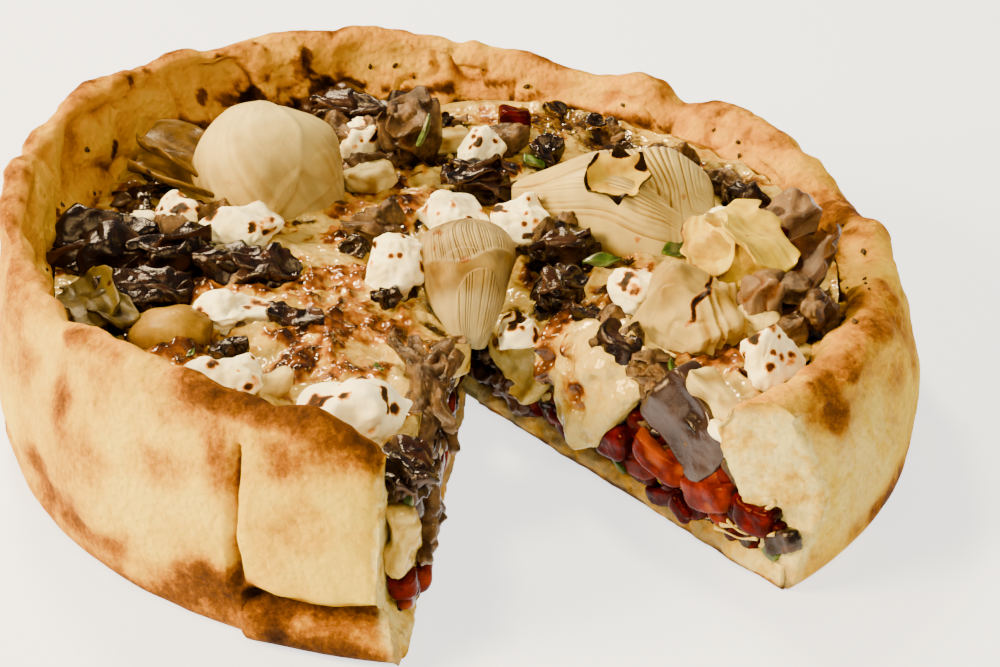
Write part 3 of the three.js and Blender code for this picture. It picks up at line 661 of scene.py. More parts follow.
def crust_outlines(azimuth):
    """Radius and height of the outer and the inner outline, for a column of azimuths."""
    azimuth = azimuth[:, None]
    flat = np.ones_like(azimuth)
    top = rim_height(azimuth)
    thickness = CREST_THICKNESS + CREST_EXTRA * np.cos(np.radians(azimuth))
    crest = CREST_RADIUS + CREST_LEAN * np.cos(np.radians(azimuth - CREST_LEAN_AT))
    cap = np.minimum(thickness / 2, CROWN_HEIGHT)
    lip = rise(azimuth, LIP_FROM - 1, LIP_FROM + 1)

    def outside(height):
        share = height / (top - cap)
        bulge = (WALL_BULGE + LIP_PANEL_BULGE * lip) * np.sin(np.pi * share)
        wavy = WAVES * unevenness(azimuth / 7, height / 14, 0, 1)
        leaning = BASE_RADIUS + (crest - BASE_RADIUS) * share**1.5
        return leaning + bulge + wavy - crease_depth(azimuth, height, False)

    def inside(height):
        edge = filling_edge(azimuth)
        over_cheese = height - CHEESE_TOP - 1
        high = edge + (crest - thickness - edge) * over_cheese / (top - cap - CHEESE_TOP - 1)
        wall = np.where(over_cheese < 0, inner_wall(azimuth, height), high)
        return wall + crease_depth(azimuth, height, True)

    def crown(angles):
        notch = 0.6 * crease_depth(azimuth, top - cap, True)
        radii = crest - thickness / 2 + thickness / 2 * np.cos(angles)
        return np.stack([radii, top - cap - notch + cap * np.sin(angles)], -1)

    under, floor, edge_heights = UNDER_RADII * flat, FLOOR_RADII * flat, EDGE_HEIGHTS * flat
    rounded = np.sqrt(1 - np.clip(1 - edge_heights / EDGE_ROUNDING, 0, 1) ** 2)
    round_edge = FOOT_RADIUS + (BASE_RADIUS - FOOT_RADIUS + LIP_OUT * lip) * rounded
    gap = rise(edge_heights, LIP_TOP - 0.8, LIP_TOP + 1.5) * lip
    edge_radii = round_edge - gap * (LIP_OUT + LIP_GAP_DEPTH)
    edge_radii = np.where(lip > 0.5, edge_radii, np.minimum(edge_radii, outside(edge_heights) + 0.3))

    wall_heights = WALL_FROM + (top - cap - WALL_FROM) * np.linspace(0, 1, WALL_ROWS)
    settled = rise(wall_heights, WALL_FROM, GAP_CLOSES_AT)
    wall_radii = outside(wall_heights) - LIP_GAP_DEPTH * lip * (1 - settled) * 0.7
    angles = np.radians(np.linspace(0, 90, CROWN_ROWS + 1)[1:])

    foot_angles = np.linspace(0.1, 1, FOOT_ROWS) * flat * np.pi / 2
    foot_radii = FLOOR_RADII[-1] + (FOOT_STOPS_AT - FLOOR_RADII[-1]) * np.sin(foot_angles)
    foot_heights = BASE_THICKNESS + FOOT_HEIGHT * (1 - np.cos(foot_angles))
    outer = [
        np.stack([under, 0 * under], -1), np.stack([edge_radii, edge_heights], -1),
        np.stack([wall_radii, wall_heights], -1), crown(angles),
    ]
    inner = [
        np.stack([floor, BASE_THICKNESS + 0 * floor], -1), np.stack([foot_radii, foot_heights], -1),
        np.stack([inside(wall_heights), wall_heights], -1), crown(np.pi - angles),
    ]
    return np.concatenate(outer, 1), np.concatenate(inner, 1)


def crust_turn(azimuth, radius, height):
    """How far the ends of the crust are turned: folded round at the right, a little torn at both."""
    near_right = 1 - rise(azimuth, CUT_RIGHT, CUT_RIGHT + 12)
    on_wall = rise(radius, 90, 105) * rise(height, 8, 26)
    twist = 0.42 * (radius - 117) * near_right * on_wall
    near_left = rise(azimuth, CUT_LEFT - 4, CUT_LEFT)
    shorter = (CUT_LEFT - WALL_END_LEFT) * near_left * rise(height, BASE_THICKNESS, 2 * BASE_THICKNESS)
    ends = near_left + 1 - rise(azimuth, CUT_RIGHT, CUT_RIGHT + 4)
    return twist - shorter + 0.5 * ends * unevenness(radius / 9, height / 6, 0, 3)


print("points in an outline:", crust_outlines(np.array([90.0]))[0].shape[1])

# %% [markdown]
# The same sweep serves the layers of the filling, so it is a function of its own: two outlines, swept
# round, and a strip between them at each end. It marks each point with its azimuth, with whether it is on
# the inner side, and with whether it is on a cut.

# %% Sweeping two outlines round
CRUST_STEPS, ACROSS_CRUST = 590, 14
CRACK_AT, CRACK_STEPS = 246, 25  # the crease on the outside is narrow, so it gets columns of its own


def sweep(name, azimuths, outlines, turn, across):
    """A closed piece between two outlines, each turned by turn(azimuth, radius, height)."""
    outer, inner = outlines(azimuths)
    azimuth = np.repeat(azimuths[:, None], outer.shape[1], 1)
    sheets = [(outer, azimuth, 0.0, 0.0), (inner, azimuth, 1.0, 0.0)]
    for column in (0, -1):
        share = np.linspace(0, 1, across + 1)[:, None, None]
        strip = outer[column] * (1 - share) + inner[column] * share
        sheets.append((strip, np.full(strip.shape[:2], azimuths[column]), share[..., 0], 1.0))
    points, faces, marks, first = [], [], {"side": [], "cut": [], "azimuth": []}, 0
    for outline, around, side, cut in sheets:
        radius, height = outline[..., 0], outline[..., 1]
        angle = np.radians(around + turn(around, radius, height))
        points.append(np.stack([radius * np.cos(angle), radius * np.sin(angle), height], -1).reshape(-1, 3))
        faces.append(grid_faces(*radius.shape, first))
        for mark, value in (("side", side), ("cut", cut), ("azimuth", around)):
            marks[mark].append(np.broadcast_to(value, radius.shape).ravel())
        first += radius.size
    together = {mark: np.concatenate(values) for mark, values in marks.items()}
    return make_piece(name, np.concatenate(points), np.concatenate(faces), together)


steps = [np.linspace(CUT_RIGHT, CUT_LEFT, CRUST_STEPS), np.linspace(CRACK_AT - 3, CRACK_AT + 3, CRACK_STEPS)]
crust = sweep("baked_crust", np.unique(np.concatenate(steps)), crust_outlines, crust_turn, ACROSS_CRUST)
print("crust:", len(crust.data.polygons), "faces")

# %% [markdown]
# ### The relief of the dough
#
# Dough rises unevenly: it swells, has shallow pits where gas escaped, and stands in lumps along the rim.
# The inside of the wall is torn into pockets, and the cut shows coarse crumb. A displacement texture
# could do this for one noise, but here each part of the crust has its own. Each point moves along its
# normal, except on the flat underside and on the floor, which the filling hides.

# %% Crust relief
points, normals = points_of(crust)
azimuth, side, cut = (mark_of(crust, mark) for mark in ("azimuth", "side", "cut"))
height, radius = points[:, 2], np.hypot(points[:, 0], points[:, 1])
top = rim_height(azimuth)
broad, middle, fine = noise(points, 18, 1), noise(points, 6, 2), noise(points, 2.2, 3)

swell = 1.2 * broad + 0.5 * middle + 0.16 * fine
steady = 0.25 + 0.75 * rise(height, 2, 8)
rim_lumps = rise(height, top - 14, top - 4) * (1.5 * noise(points, 11, 5) + 0.7 * noise(points, 4.5, 6))
pits = np.clip(0.30 - cells(points, 5, 8)[0], 0, 1) * (noise(points, 20, 9) > 0.1) * rise(height, 8, 16)
torn = np.abs(noise(points * [1, 1, 0.7], 10, 7))
wall_inside = side * rise(height, CHEESE_TOP - 8, CHEESE_TOP) * (1 - rise(height, top - 6, top - 1))
pockets = wall_inside * (1.6 * noise(points, 8, 11) - 1.8 * bump(torn, 0.12))
torn_crumb = rise(cut, 0.4, 0.9) * (0.7 * noise(points, 7, 33) + 0.35 * noise(points, 2.4, 34))
grow = swell * steady + rim_lumps + pockets - 3.0 * pits + torn_crumb

under = (height < 0.5) & (radius < FOOT_RADIUS + 1)
floor = (side > 0.5) & (height < BASE_THICKNESS + 1)
grow = np.where(under | floor | (height < 1), 0, grow)
points = points + normals * grow[:, None]
points[:, 2] = np.maximum(points[:, 2], 0)
move_points(crust, points)
print("the relief goes from", round(grow.min(), 1), "to", round(grow.max(), 1), "mm")

# %% [markdown]
# ### Browning the crust
#
# The rim browns most, then the edge that stood in the corner of the pan. The rest of the outside is cream
# with golden patches where it touched the hot metal. A painted image would have to be unwrapped round the
# wall. A table of patches is easier to change: each has its azimuth and height on the wall, how far it
# reaches each way, and how brown it is.

# %% Browning the outside
# azimuth, height, reach along the wall in degrees, reach in height, and how brown
OUTSIDE_PATCHES = [
    (219, 43, 2.6, 9, 0.40), (212, 19, 2.6, 6, 0.30), (236, 42, 5.0, 7, 0.26), (243.5, 49, 2.4, 11, 0.34),
    (239, 58, 6.0, 6, 0.22), (252, 54, 3.8, 7, 0.36), (259, 56, 5.0, 5, 0.24), (243, 12, 8.0, 7, 0.62),
    (253, 13, 7.0, 4, 0.16), (226, 11, 9.0, 5, 0.30), (200, 8, 12.0, 5, 0.12), (250, 7, 2.4, 4, 0.40),
    (256, 4, 7.0, 6, 0.40), (-39, 42, 4.4, 11, 0.34), (-28, 47, 4.0, 7, 0.12), (-28, 6, 10.0, 5, 0.34),
    (224, 32, 5.0, 8, 0.14), (206, 40, 6.0, 12, 0.12), (254, 36, 4.0, 8, 0.14), (-14, 40, 9.0, 14, 0.20),
    (20, 30, 14.0, 14, 0.18), (70, 34, 18.0, 10, 0.20), (110, 26, 14.0, 12, 0.22), (150, 36, 12.0, 14, 0.20),
]
# azimuth, reach in degrees, and how much browner or paler the rim is there
RIM_TINTS = [
    (0, 34, -0.02), (250, 15, 0.14), (105, 40, -0.08), (-46, 10, -0.16), (45, 30, -0.13), (-8, 16, -0.15),
    (230, 8, -0.14),
]
FAR_OFF = 9  # past this share of its reach, squared, nothing is left of a patch


def softened(thing, values, times):
    """Spreads a mark over neighbouring points, so that it has no hard border."""
    ends = np.empty(2 * len(thing.data.edges), int)
    thing.data.edges.foreach_get("vertices", ends)
    first, second = ends.reshape(-1, 2).T
    size = len(values)
    count = np.bincount(ends, minlength=size)
    for _ in range(times):
        total = np.bincount(first, values[second], size) + np.bincount(second, values[first], size)
        values = 0.5 * values + 0.5 * total / count
    return values


side = softened(crust, side, 8)
outside = 1 - rise(side, 0.1, 0.7)
middle_height = bump(height - 0.48 * top, 0.36 * top)
brown = 0.17 - 0.10 * middle_height + 0.12 * noise(points, 26, 20) + 0.10 * rough(points, 9, 21)
for at, level, along, tall, amount in OUTSIDE_PATCHES:
    away = ((azimuth - at) / along) ** 2 + ((height - level) / tall) ** 2
    ragged = away * (1 + 0.4 * middle) + 0.35 * broad + 0.2 * middle
    brown = brown + outside * amount * np.exp(-1.4 * np.clip(ragged, 0, FAR_OFF) ** 1.3)
foot = 1 - rise(height + 2 * middle, 1, 9)
brown = brown + outside * (0.09 + 0.30 * rise(azimuth, 216, 232)) * foot

floury = bump(azimuth - 185, 26) + 0.6 * bump(azimuth - 224, 9)
edge = rise(height + 1.5 * middle + 1.5 * broad, top - 4.5, top + 0.5)
tint = 0.26 - 0.14 * floury + 0.07 * broad + 0.11 * middle
tint = tint + sum(amount * bump(azimuth - at, reach) for at, reach, amount in RIM_TINTS)
brown = brown + edge * (tint + 0.12 * noise(points, 3.2, 31))

# the crease on the outside is painted dark as the shade in it, and past it a band in the gap above the lip is
# painted shadow
painted_crack_shade = bump(azimuth - CRACK_AT - 0.2 * noise(points, 9, 35), 0.42)
painted_crack_shade = painted_crack_shade * rise(height, 11, 16) * (1 - rise(height, 50, 58))
past_crack = rise(azimuth, CRACK_AT, CRACK_AT + 1)
brown = brown + outside * (0.5 * painted_crack_shade + 0.45 * past_crack * bump(height - 12.6, 1.6))
print(len(OUTSIDE_PATCHES), "patches, mean browning", round(brown.mean(), 2))

# %% [markdown]
# Inside, the wall is golden, because the filling kept it moist, and it is painted paler, most of all at
# the right, as painted light that lifts its shade. Just above the filling it is scorched in streaks, deepened
# at the back as painted shade. Its pockets are painted darker in their hollows and paler where they stand
# out, as painted shade and light, and small specks are burnt on at the back.

# %% Browning the inside
# azimuth, height, reach along the wall in degrees, reach in height, and how brown
INSIDE_SCORCHES = [
    (155, 52, 1.6, 3.0, 0.9), (143, 47, 3.6, 2.6, 0.9), (135, 55, 1.4, 3.0, 0.6), (127, 51, 2.6, 2.6, 0.8),
    (113, 48, 6.0, 3.4, 0.8), (117, 57, 2.0, 5.0, 0.5), (174, 50, 2.0, 3.0, 0.7), (96, 45, 5.0, 2.0, 0.4),
]
DARKEST_EVEN, DARK_SHARE = 0.45, 0.7  # above this browning, only this share of the rest is kept

gold = side * rise(height, CHEESE_TOP - 8, CHEESE_TOP)
# paler inside the wall, most of all at azimuth 0: noise for an uneven tone, and painted light that lifts the
# shade on the inner wall
inner_tone_and_painted_light = 0.12 * broad + 0.12 * middle - 0.10 - 0.07 * bump(azimuth, 34) - 0.06 * floury
brown = brown + gold * (1 - 0.6 * edge) * inner_tone_and_painted_light
# just above the filling the wall is scorched in streaks; at the back this band is deepened as painted shade
back = rise(azimuth, 50, 75) * (1 - rise(azimuth, 150, 178))
scorched_and_shaded_to = CHEESE_TOP + 5 + 14 * bump(azimuth - 120, 32) + 3 * broad
near_filling = 1 - rise(height, CHEESE_TOP, scorched_and_shaded_to)
streaks = rise(rough(points * [1, 1, 1.6], 7, 12) - 0.014 * (height - CHEESE_TOP), -0.15, 0.40)
brown = brown + gold * near_filling * (0.12 + 0.85 * streaks * (0.2 + 0.8 * back))
for at, level, along, tall, scorched in INSIDE_SCORCHES:
    away = ((azimuth - at) / along) ** 2 + ((height - level) / tall) ** 2
    away = away + 1.2 * rough(points, 4, 37)
    brown = brown + side * scorched * (1 - rise(away, 0.3, 1.0))
specks = spots(points * [1, 1, 0.6], 4.5, 15, 0.35, 0.4) * rise(noise(points, 14, 16), -0.2, 0.3)
# burnt specks, and the pockets painted darker in their hollows and paler where they stand out: painted shade
# and light
brown = brown + gold * (0.3 + 0.7 * back) * 0.55 * specks - 0.125 * gold * pockets
scorch = bump(azimuth - 11, 4) * bump(height - top + 3, 5) + bump(azimuth - 57, 3) * bump(height - top, 4)
brown = brown + 0.3 * side * scorch
brown = np.where(brown > DARKEST_EVEN, DARKEST_EVEN + DARK_SHARE * (brown - DARKEST_EVEN), brown)
print(len(INSIDE_SCORCHES), "scorched streaks, darkest", round(brown.max(), 2))

# %% [markdown]
# Where the knife went through, the pale crumb shows. Towards the underside the crumb is baked brown, and
# under the filling it is soaked and darker.

# %% Crumb in the cuts
from_cut = radius * np.radians(np.minimum(azimuth - CUT_RIGHT, CUT_LEFT - azimuth))
cut_face = (1 - rise(from_cut + 1.6 * middle + fine, 0.6, 4.2)) * (1 - rise(height, top - 6, top - 1))
under_side = 1 - rise(height + 1.2 * noise(points, 3.5, 36), 1.6, 4.2)
soaked = 0.3 * (1 - rise(height, 8, 11)) * (1 - rise(radius + 4 * middle, 100, 116))
base_cut = 1 - rise(height, BASE_THICKNESS, BASE_THICKNESS + 4)
torn_edge = 0.16 + 0.3 * under_side + soaked + 0.14 * base_cut + (0.1 + 0.14 * base_cut) * middle
brown = np.where(cut > 0.5, torn_edge, brown)
pale_wall = 0.6 * outside * bump(azimuth + 37, 13) * middle_height * (1 - rise(brown, 0.2, 0.4))
baked = np.maximum(np.maximum(under_side, 1.6 * soaked), 0.7 * base_cut)

set_mark(crust, "brown", brown)
set_mark(crust, "steamed", 0.6 * gold * (1 - rise(brown, 0.25, 0.5)))
set_mark(crust, "crumb", np.maximum(cut_face, pale_wall) * (1 - 0.8 * baked))
dress(crust, dough, "crust", "crust_dough")
print("crumb shows at", round(100 * (mark_of(crust, "crumb") > 0.5).mean()), "percent of the points")

# %% [markdown]
# ## The layers of filling
#
# Under the cheese lie two layers that show only where the slice was cut out: grilled aubergine, and under
# it peppers. They are swept like the crust, between a lower and an upper height. Their cut faces are
# lumpy with the pieces that the knife went through.

# %% Layer shapes
SAG, SAG_AT, SAG_REACH = 13.0, (8.0, -14.0), 27.0
LAYER_GAP = 0.6
LAYER_RINGS, ACROSS_LAYER, DEGREES_PER_STEP = 120, 18, 6


def sag(x, y):
    """How far the filling has sunk near the point of the slice."""
    return SAG * bump(np.hypot(x - SAG_AT[0], y - SAG_AT[1]), SAG_REACH)


def layer_outlines(low, low_sag, high, high_sag, ripple, rings):
    """Outlines of a layer between two heights, each with its share of the sag."""

    def outlines(azimuth):
        azimuth = azimuth[:, None]

        def row(height, share, rippled):
            radius = (inner_wall(azimuth, height) - LAYER_GAP) * np.linspace(0, 1, rings)
            x, y = radius * np.cos(np.radians(azimuth)), radius * np.sin(np.radians(azimuth))
            return np.stack([radius, height - share * sag(x, y) + rippled(x, y)], -1)

        return row(low, low_sag, lambda x, y: 0), row(high, high_sag, ripple)

    return outlines


def layer_turn(azimuth, radius, height):
    """Keeps the cut faces of a layer unevenly behind those of the crust."""
    at_right, at_left = azimuth <= CUT_RIGHT + 0.01, azimuth >= CUT_LEFT - 0.01
    inwards = np.where(at_right, 1, np.where(at_left, -1, 0))
    return inwards * (1 + unevenness(radius / 13, height / 7, 0, 2)) * rise(radius, 5, 40)


def make_layer(name, node, slot_name, low, low_sag, high, high_sag, chunk, seed, material):
    """A layer whose cut faces are chunky, each chunk about `chunk` millimetres."""
    between = np.arange(CUT_RIGHT + 3, CUT_LEFT - 2, DEGREES_PER_STEP)
    outlines = layer_outlines(low, low_sag, high, high_sag, lambda x, y: 0 * x, LAYER_RINGS)
    around = np.concatenate([[CUT_RIGHT], between, [CUT_LEFT]])
    thing = sweep(name, around, outlines, layer_turn, ACROSS_LAYER)
    points, normals = points_of(thing)
    cut = mark_of(thing, "cut")
    far, which = cells(points * [1, 1, 1.25], chunk, seed)
    grow = 1.9 * (0.75 - far) + 0.8 * noise(points, 3, seed) + 0.4 * noise(points, 1.4, seed + 1)
    points = points + normals * (cut * grow)[:, None]
    move_points(thing, points)
    pale = cut * rise(which, 0.62, 0.72) * rise(noise(points, 4, seed + 4), -0.3, 0.2)
    # the gaps between the chunks, where the face is lowest, are marked darker: painted shade
    dress(thing, material, node, slot_name, pale=pale, char=0.5 * rise(far, 0.55, 0.9))
    print(name, len(thing.data.polygons), "faces")


make_layer(
    "aubergine_layer", "aubergine_filling", "aubergine_filling", PEPPER_TOP + LAYER_GAP, 0.35,
    AUBERGINE_TOP, 0.85, 7, 21, aubergine_flesh,
)
make_layer(
    "pepper_layer", "pepper_filling", "pepper_filling", BASE_THICKNESS + LAYER_GAP, 0,
    PEPPER_TOP, 0.35, 8, 31, red_pepper,
)

# %% [markdown]
# ## The melted cheese
#
# The cheese is one rippled sheet over the whole filling. It climbs a little up whatever lies in it, and
# in some fields it has blistered. Around the aubergines it is thin and dark, and round every topping and
# at the foot of the wall it is painted dark as shadow. These fields are tables of round spots, because
# blisters come where the heat was, not in an even pattern, and noise then makes their borders ragged.

# %% Cheese surface
CHEESE_RIPPLE, RIPPLE_LENGTH = 1.6, 12.0
CHEESE_STEPS, CHEESE_RINGS, ACROSS_CHEESE = 420, 100, 8
TONGUE, TONGUE_AT, TONGUE_REACH = 11, 36, 9  # degrees, and radii in millimetres
# x, y and reach of the places where the cheese has blistered
BLISTERS = [
    (-73, -20, 7), (-50, -8, 7), (-43, -18, 8), (-34, -8, 8), (-26, -33, 9), (-21, -30, 7), (-42, -48, 8),
    (-36, -44, 8), (-45, -60, 8), (-32, -58, 7), (-16, -17, 8), (-71, -55, 6), (-17, -26, 7), (-55, -19, 7),
    (-31, -24, 8), (-39, -24, 7), (-60, -70, 6), (24, -35, 7), (23, -54, 6), (35, -66, 6), (69, -47, 8),
    (50, -40, 7), (30, -16, 6), (39, -13, 6), (-20, 33, 7), (25, 2, 5), (30, 2, 5), (-34, 14, 7),
    (-29, 50, 8), (-25, 61, 8), (61, -44, 6), (-11, -39, 7), (-27, 28, 7), (49, -20, 5), (12, 62, 6),
    (-4, 44, 6),
]
# x, y, reach and strength of the places where hardly any cheese covers the vegetables; those near the
# wall are also painted shadow at its foot
BARE_AND_SHADED_PLACES = [
    (-94, -8, 13, 0.9), (-72, -8, 9, 0.7), (-40, 92, 17, 1.0), (-8, 92, 12, 0.8), (30, 94, 14, 0.8),
    (76, 54, 13, 0.9), (94, 16, 12, 0.9), (56, 76, 12, 0.7), (-84, 66, 12, 0.5), (3, -31, 9, 0.8),
    (96, -52, 8, 0.7), (-10, -78, 9, 0.7), (47, -47, 6, 0.7), (28, 2, 6, 0.6), (14, 48, 6, 0.5),
    (-4, 82, 10, 0.8), (11, 74, 7, 0.8), (60, 68, 13, 0.9), (44, 84, 12, 0.9), (-22, 86, 11, 0.9),
    (84, 38, 10, 0.9), (-25, 20, 7, 0.8), (-62, 92, 12, 0.8), (-92, 34, 9, 0.7), (44, -35, 6, 0.8),
    (26, 12, 8, 0.8), (-60, -54, 5, 0.7), (23, 67, 7, 0.7), (98, -30, 10, 0.9),
]


def cheese_ripple(x, y):
    """The long ripples that the solid has too."""
    return CHEESE_RIPPLE * unevenness(x / RIPPLE_LENGTH, y / RIPPLE_LENGTH, 0, 5)


def cheese_height(x, y):
    """Height of the top of the cheese."""
    return CHEESE_TOP - sag(x, y) + cheese_ripple(x, y)


def cheese_turn(azimuth, radius, height):
    """Like the layers below, but a tongue of cheese hangs out over the left cut."""
    at_left = azimuth >= CUT_LEFT - 0.01
    return layer_turn(azimuth, radius, height) + TONGUE * bump(radius - TONGUE_AT, TONGUE_REACH) * at_left


def strongest(x, y, places):
    """The greatest of several round fields at each point."""
    fields = [strength * bump(np.hypot(x - at_x, y - at_y), reach) for at_x, at_y, reach, strength in places]
    return np.max(fields, 0)


around = np.linspace(CUT_RIGHT, CUT_LEFT, CHEESE_STEPS)
outlines = layer_outlines(AUBERGINE_TOP + LAYER_GAP, 0.85, CHEESE_TOP, 1, cheese_ripple, CHEESE_RINGS)
cheese = sweep("melted_cheese_top", around, outlines, cheese_turn, ACROSS_CHEESE)
print("cheese:", len(cheese.data.polygons), "faces")

# %% [markdown]
# Now the sheet is dressed for what lies in it. Round each topping it climbs, as it does by surface
# tension, and it is thin there, with a ring of painted shadow in the gap. Where it is thick it forms soft
# mounds and folds, and where it is thin the chopped vegetables under it make it rough. Blisters stand up
# from it, with small browned dots around them.

# %% Melting the cheese
TOPPINGS = ("artichoke", "feta", "aubergine", "pepper_back")
on_top = [name for name in nodes if name.startswith(TOPPINGS)]
lying_in_it = [name for name in on_top if "_cut_" not in name and "filling" not in name]

points, _ = points_of(cheese)
flat = points * [1, 1, 0]
x, y = points[:, 0], points[:, 1]
drifted = warped(flat, 9, 4.0, 40)
roast = strongest(drifted[:, 0], drifted[:, 1], [(*blister, 1.0) for blister in BLISTERS])
bare = strongest(x, y, BARE_AND_SHADED_PLACES)
climb, gaps = 0, noise(flat, 9, 57)
for name in lying_in_it:
    low, high = (np.array(corner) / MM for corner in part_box(name))
    centre, half = (low + high) / 2, (high - low) / 2
    past_edge = np.hypot((x - centre[0]) / half[0], (y - centre[1]) / half[1]) - 0.95
    climb = np.maximum(climb, bump(past_edge, 0.22))
    # a ring of painted shadow round each topping: the dark under-colour in the gap, strongest round the
    # aubergines
    painted_shadow_ring = 0.9 if name.startswith("aubergine") else 0.95 * rise(gaps, -0.15, 0.2)
    bare = np.maximum(bare, painted_shadow_ring * bump(np.maximum(past_edge, 0), 0.24))

clumps = rise(roast + 0.55 * rough(flat, 7, 41), 0.28, 0.56)
halo = rise(roast + 0.5 * noise(flat, 8, 42), 0.05, 0.6)
dots = spots(flat, 4.2, 45, 0.45, 0.6) * halo
thick = 1 - 0.8 * bare
folds = 1 - np.abs(noise(warped(flat, 14, 6, 55), 11, 43)) * 2
mounds = 1.6 * noise(points, 16, 44) + 1.5 * folds + 0.9 * noise(points, 6, 48) + 0.3 * noise(points, 3, 50)
bubbles = 1.0 - 2.4 * cells(flat, 4.4, 52)[0] + 0.3 * noise(points, 2.0, 53)
chunks = 1.6 * rough(points, 7, 54) - 1.3 * bump(noise(points, 5, 49), 0.15)
thin = rise(bare + 0.3 * noise(points, 5, 46), 0.45, 0.8)
blistered = clumps * (1.3 + bubbles) + 0.7 * dots
up = thick * mounds + blistered * (1 - thin) + 1.9 * climb * thick + thin * (chunks - 1.2)
points[:, 2] += mark_of(cheese, "side") * up
move_points(cheese, points)

spotted = rise(roast + 0.80 * rough(flat, 6.5, 41), 0.34, 0.60)
browned = 0.07 + 0.15 * rough(points, 9, 47) + 0.15 * halo + 0.25 * dots
browned = browned + spotted * (0.37 + 0.16 * bubbles)
dress(cheese, mozzarella, "melted_cheese", "melted_mozzarella", roast=browned, bare=bare * (1 - 0.6 * clumps))
print("the cheese closes round", len(lying_in_it), "toppings")

# %% [markdown]
# ## Toppings
#
# Lumps, fans and thin leaves are made by the same three rules as the solids, only much finer. Below the
# cheese they are cut short, as nothing of them shows there.

# %% Rules for the toppings
def ball(detail):
    """Points and faces of a ball made of even triangles."""
    work = bmesh.new()
    bmesh.ops.create_icosphere(work, subdivisions=detail, radius=1)
    points = np.array([v.co[:] for v in work.verts])
    faces = [[v.index for v in face.verts] for face in work.faces]
    work.free()
    return points, faces


BALLS = {detail: ball(detail) for detail in (3, 4, 5, 6)}
NEAR_MIDDLE = 0.01  # millimetres: nearer to the middle, a point has no outward direction


def outward_from_middle(points):
    """The direction from 0 to each point, of length 1."""
    return points / np.maximum(np.linalg.norm(points, axis=1), NEAR_MIDDLE)[:, None]


def lump(size, boxy=0.3, rough=0.1, grain=1.6, seed=0, detail=5):
    """The same rounded block as the solids have."""
    direction, faces = BALLS[detail]
    power = 2 + 4 * boxy
    squared = (np.abs(direction) ** power).sum(1)
    swell = 1 + rough * unevenness(*(direction * grain).T, seed)
    return direction * (swell * squared ** (-1 / power) / 2)[:, None] * size, faces


def crumpled(points, grain, seed, strength=1.0):
    """Crushes a lump around 0: drifts of two sizes, then sharp creases. Also says where the creases are."""
    points = warped(points, 0.9 * grain, 0.22 * grain * strength, seed)
    points = warped(points, 0.42 * grain, 0.13 * grain * strength, seed + 1)
    outward = outward_from_middle(points)
    crease = bump(noise(points, 0.5 * grain, seed + 2), 0.16)
    swell = 0.5 * noise(points, 0.22 * grain, seed + 3) - 1.3 * crease
    return points + outward * (0.07 * grain * strength * swell)[:, None], crease


def placed(points, at, tilt=0, roll=0, turn=0):
    """Turns points about X (tilt), Y (roll) and Z (turn), in that order, and moves them to `at`."""
    spin = (
        Matrix.Rotation(math.radians(turn), 3, "Z")
        @ Matrix.Rotation(math.radians(roll), 3, "Y")
        @ Matrix.Rotation(math.radians(tilt), 3, "X")
    )
    return points @ np.array(spin).T + at


def between_sheets(across, along, sheet):
    """The thin solid between sheet(1, u, v) and sheet(-1, u, v), each giving points for grids of u and v."""
    u, v = np.meshgrid(np.linspace(0, 1, across + 1), np.linspace(0, 1, along + 1), indexing="ij")
    upper, lower = (sheet(side, u, v).reshape(-1, 3) for side in (1, -1))
    count = len(upper)
    index = np.arange(count).reshape(across + 1, along + 1)
    border = np.concatenate([index[:-1, 0], index[-1, :-1], index[:0:-1, -1], index[0, :0:-1]])
    after = np.roll(border, -1)
    rim = np.stack([border, after, after + count, border + count], -1)
    top = grid_faces(across + 1, along + 1)
    faces = np.concatenate([top, top[:, ::-1] + count, rim])
    return np.concatenate([upper, lower]), faces.tolist(), np.tile(u.ravel(), 2), np.tile(v.ravel(), 2)


def sunk(points, depth=1.5):
    """Keeps points from going deeper than `depth` below the top of the cheese."""
    floor = cheese_height(points[:, 0], points[:, 1]) - depth
    return np.column_stack([points[:, :2], np.maximum(points[:, 2], floor)])


print("points in the balls:", [len(points) for points, faces in BALLS.values()])

# %% [markdown]
# ### Feta
#
# Feta doesn't melt: it keeps the flat breaks along which it crumbled. Each lump is a ball cut back by a
# dozen flat planes, softened where they meet. Its corners scorch in a few red-brown spots, each with a
# golden halo.

# %% Feta lumps
# place, size, turn, and how scorched each one is
FETA = [
    ((-83, 15, 47), (13, 12, 12), 20, 0.35),
    ((-93, 10, 45.5), (13, 12, 10), 50, 0.2),
    ((-64, 8, 47), (21, 14, 12), 8, 0.35),
    ((-19, -8, 46.5), (17, 14, 19), 12, 0.25),
    ((3, 62, 47), (13, 12, 12), 35, 0.3),
    ((-4, 22, 46), (18, 14, 13), -10, 0.35),
    ((16, 16, 47), (14, 13, 15), 25, 0.3),
    ((17, -25, 31.5), (13, 12, 15), -30, 0.3),
    ((-62.5, -36, 45), (22, 13, 11), 4, 0.7),
    ((-59, -71, 45.5), (20, 15, 12), 10, 0.2),
    ((-24, -90, 46), (27, 20, 19), -12, 0.25),
    ((81.5, -59, 46.5), (16, 13, 17), 30, 0.5),
    ((73, 8, 49), (16, 13, 15), 15, 0.2),
    ((50, -19, 45.5), (16, 13, 12), -25, 0.7),
    ((-33, 72, 46), (14, 12, 13), 40, 0.5),
]
BREAKS, SHARPNESS = 15, 16


def broken_lump(size, seed, detail=5):
    """A ball cut back by flat breaks."""
    direction, faces = BALLS[detail]
    chance = np.random.default_rng(seed)
    facing = chance.normal(size=(BREAKS, 3))
    facing /= np.linalg.norm(facing, axis=1)[:, None]
    away = chance.uniform(0.82, 1.08, BREAKS)
    pushes = np.maximum(direction @ facing.T, 0.001) / away
    limit = 1 / np.power((pushes**SHARPNESS).sum(1), 1 / SHARPNESS)
    return direction * np.minimum(limit, 1.25)[:, None] * np.array(size) / 2, faces


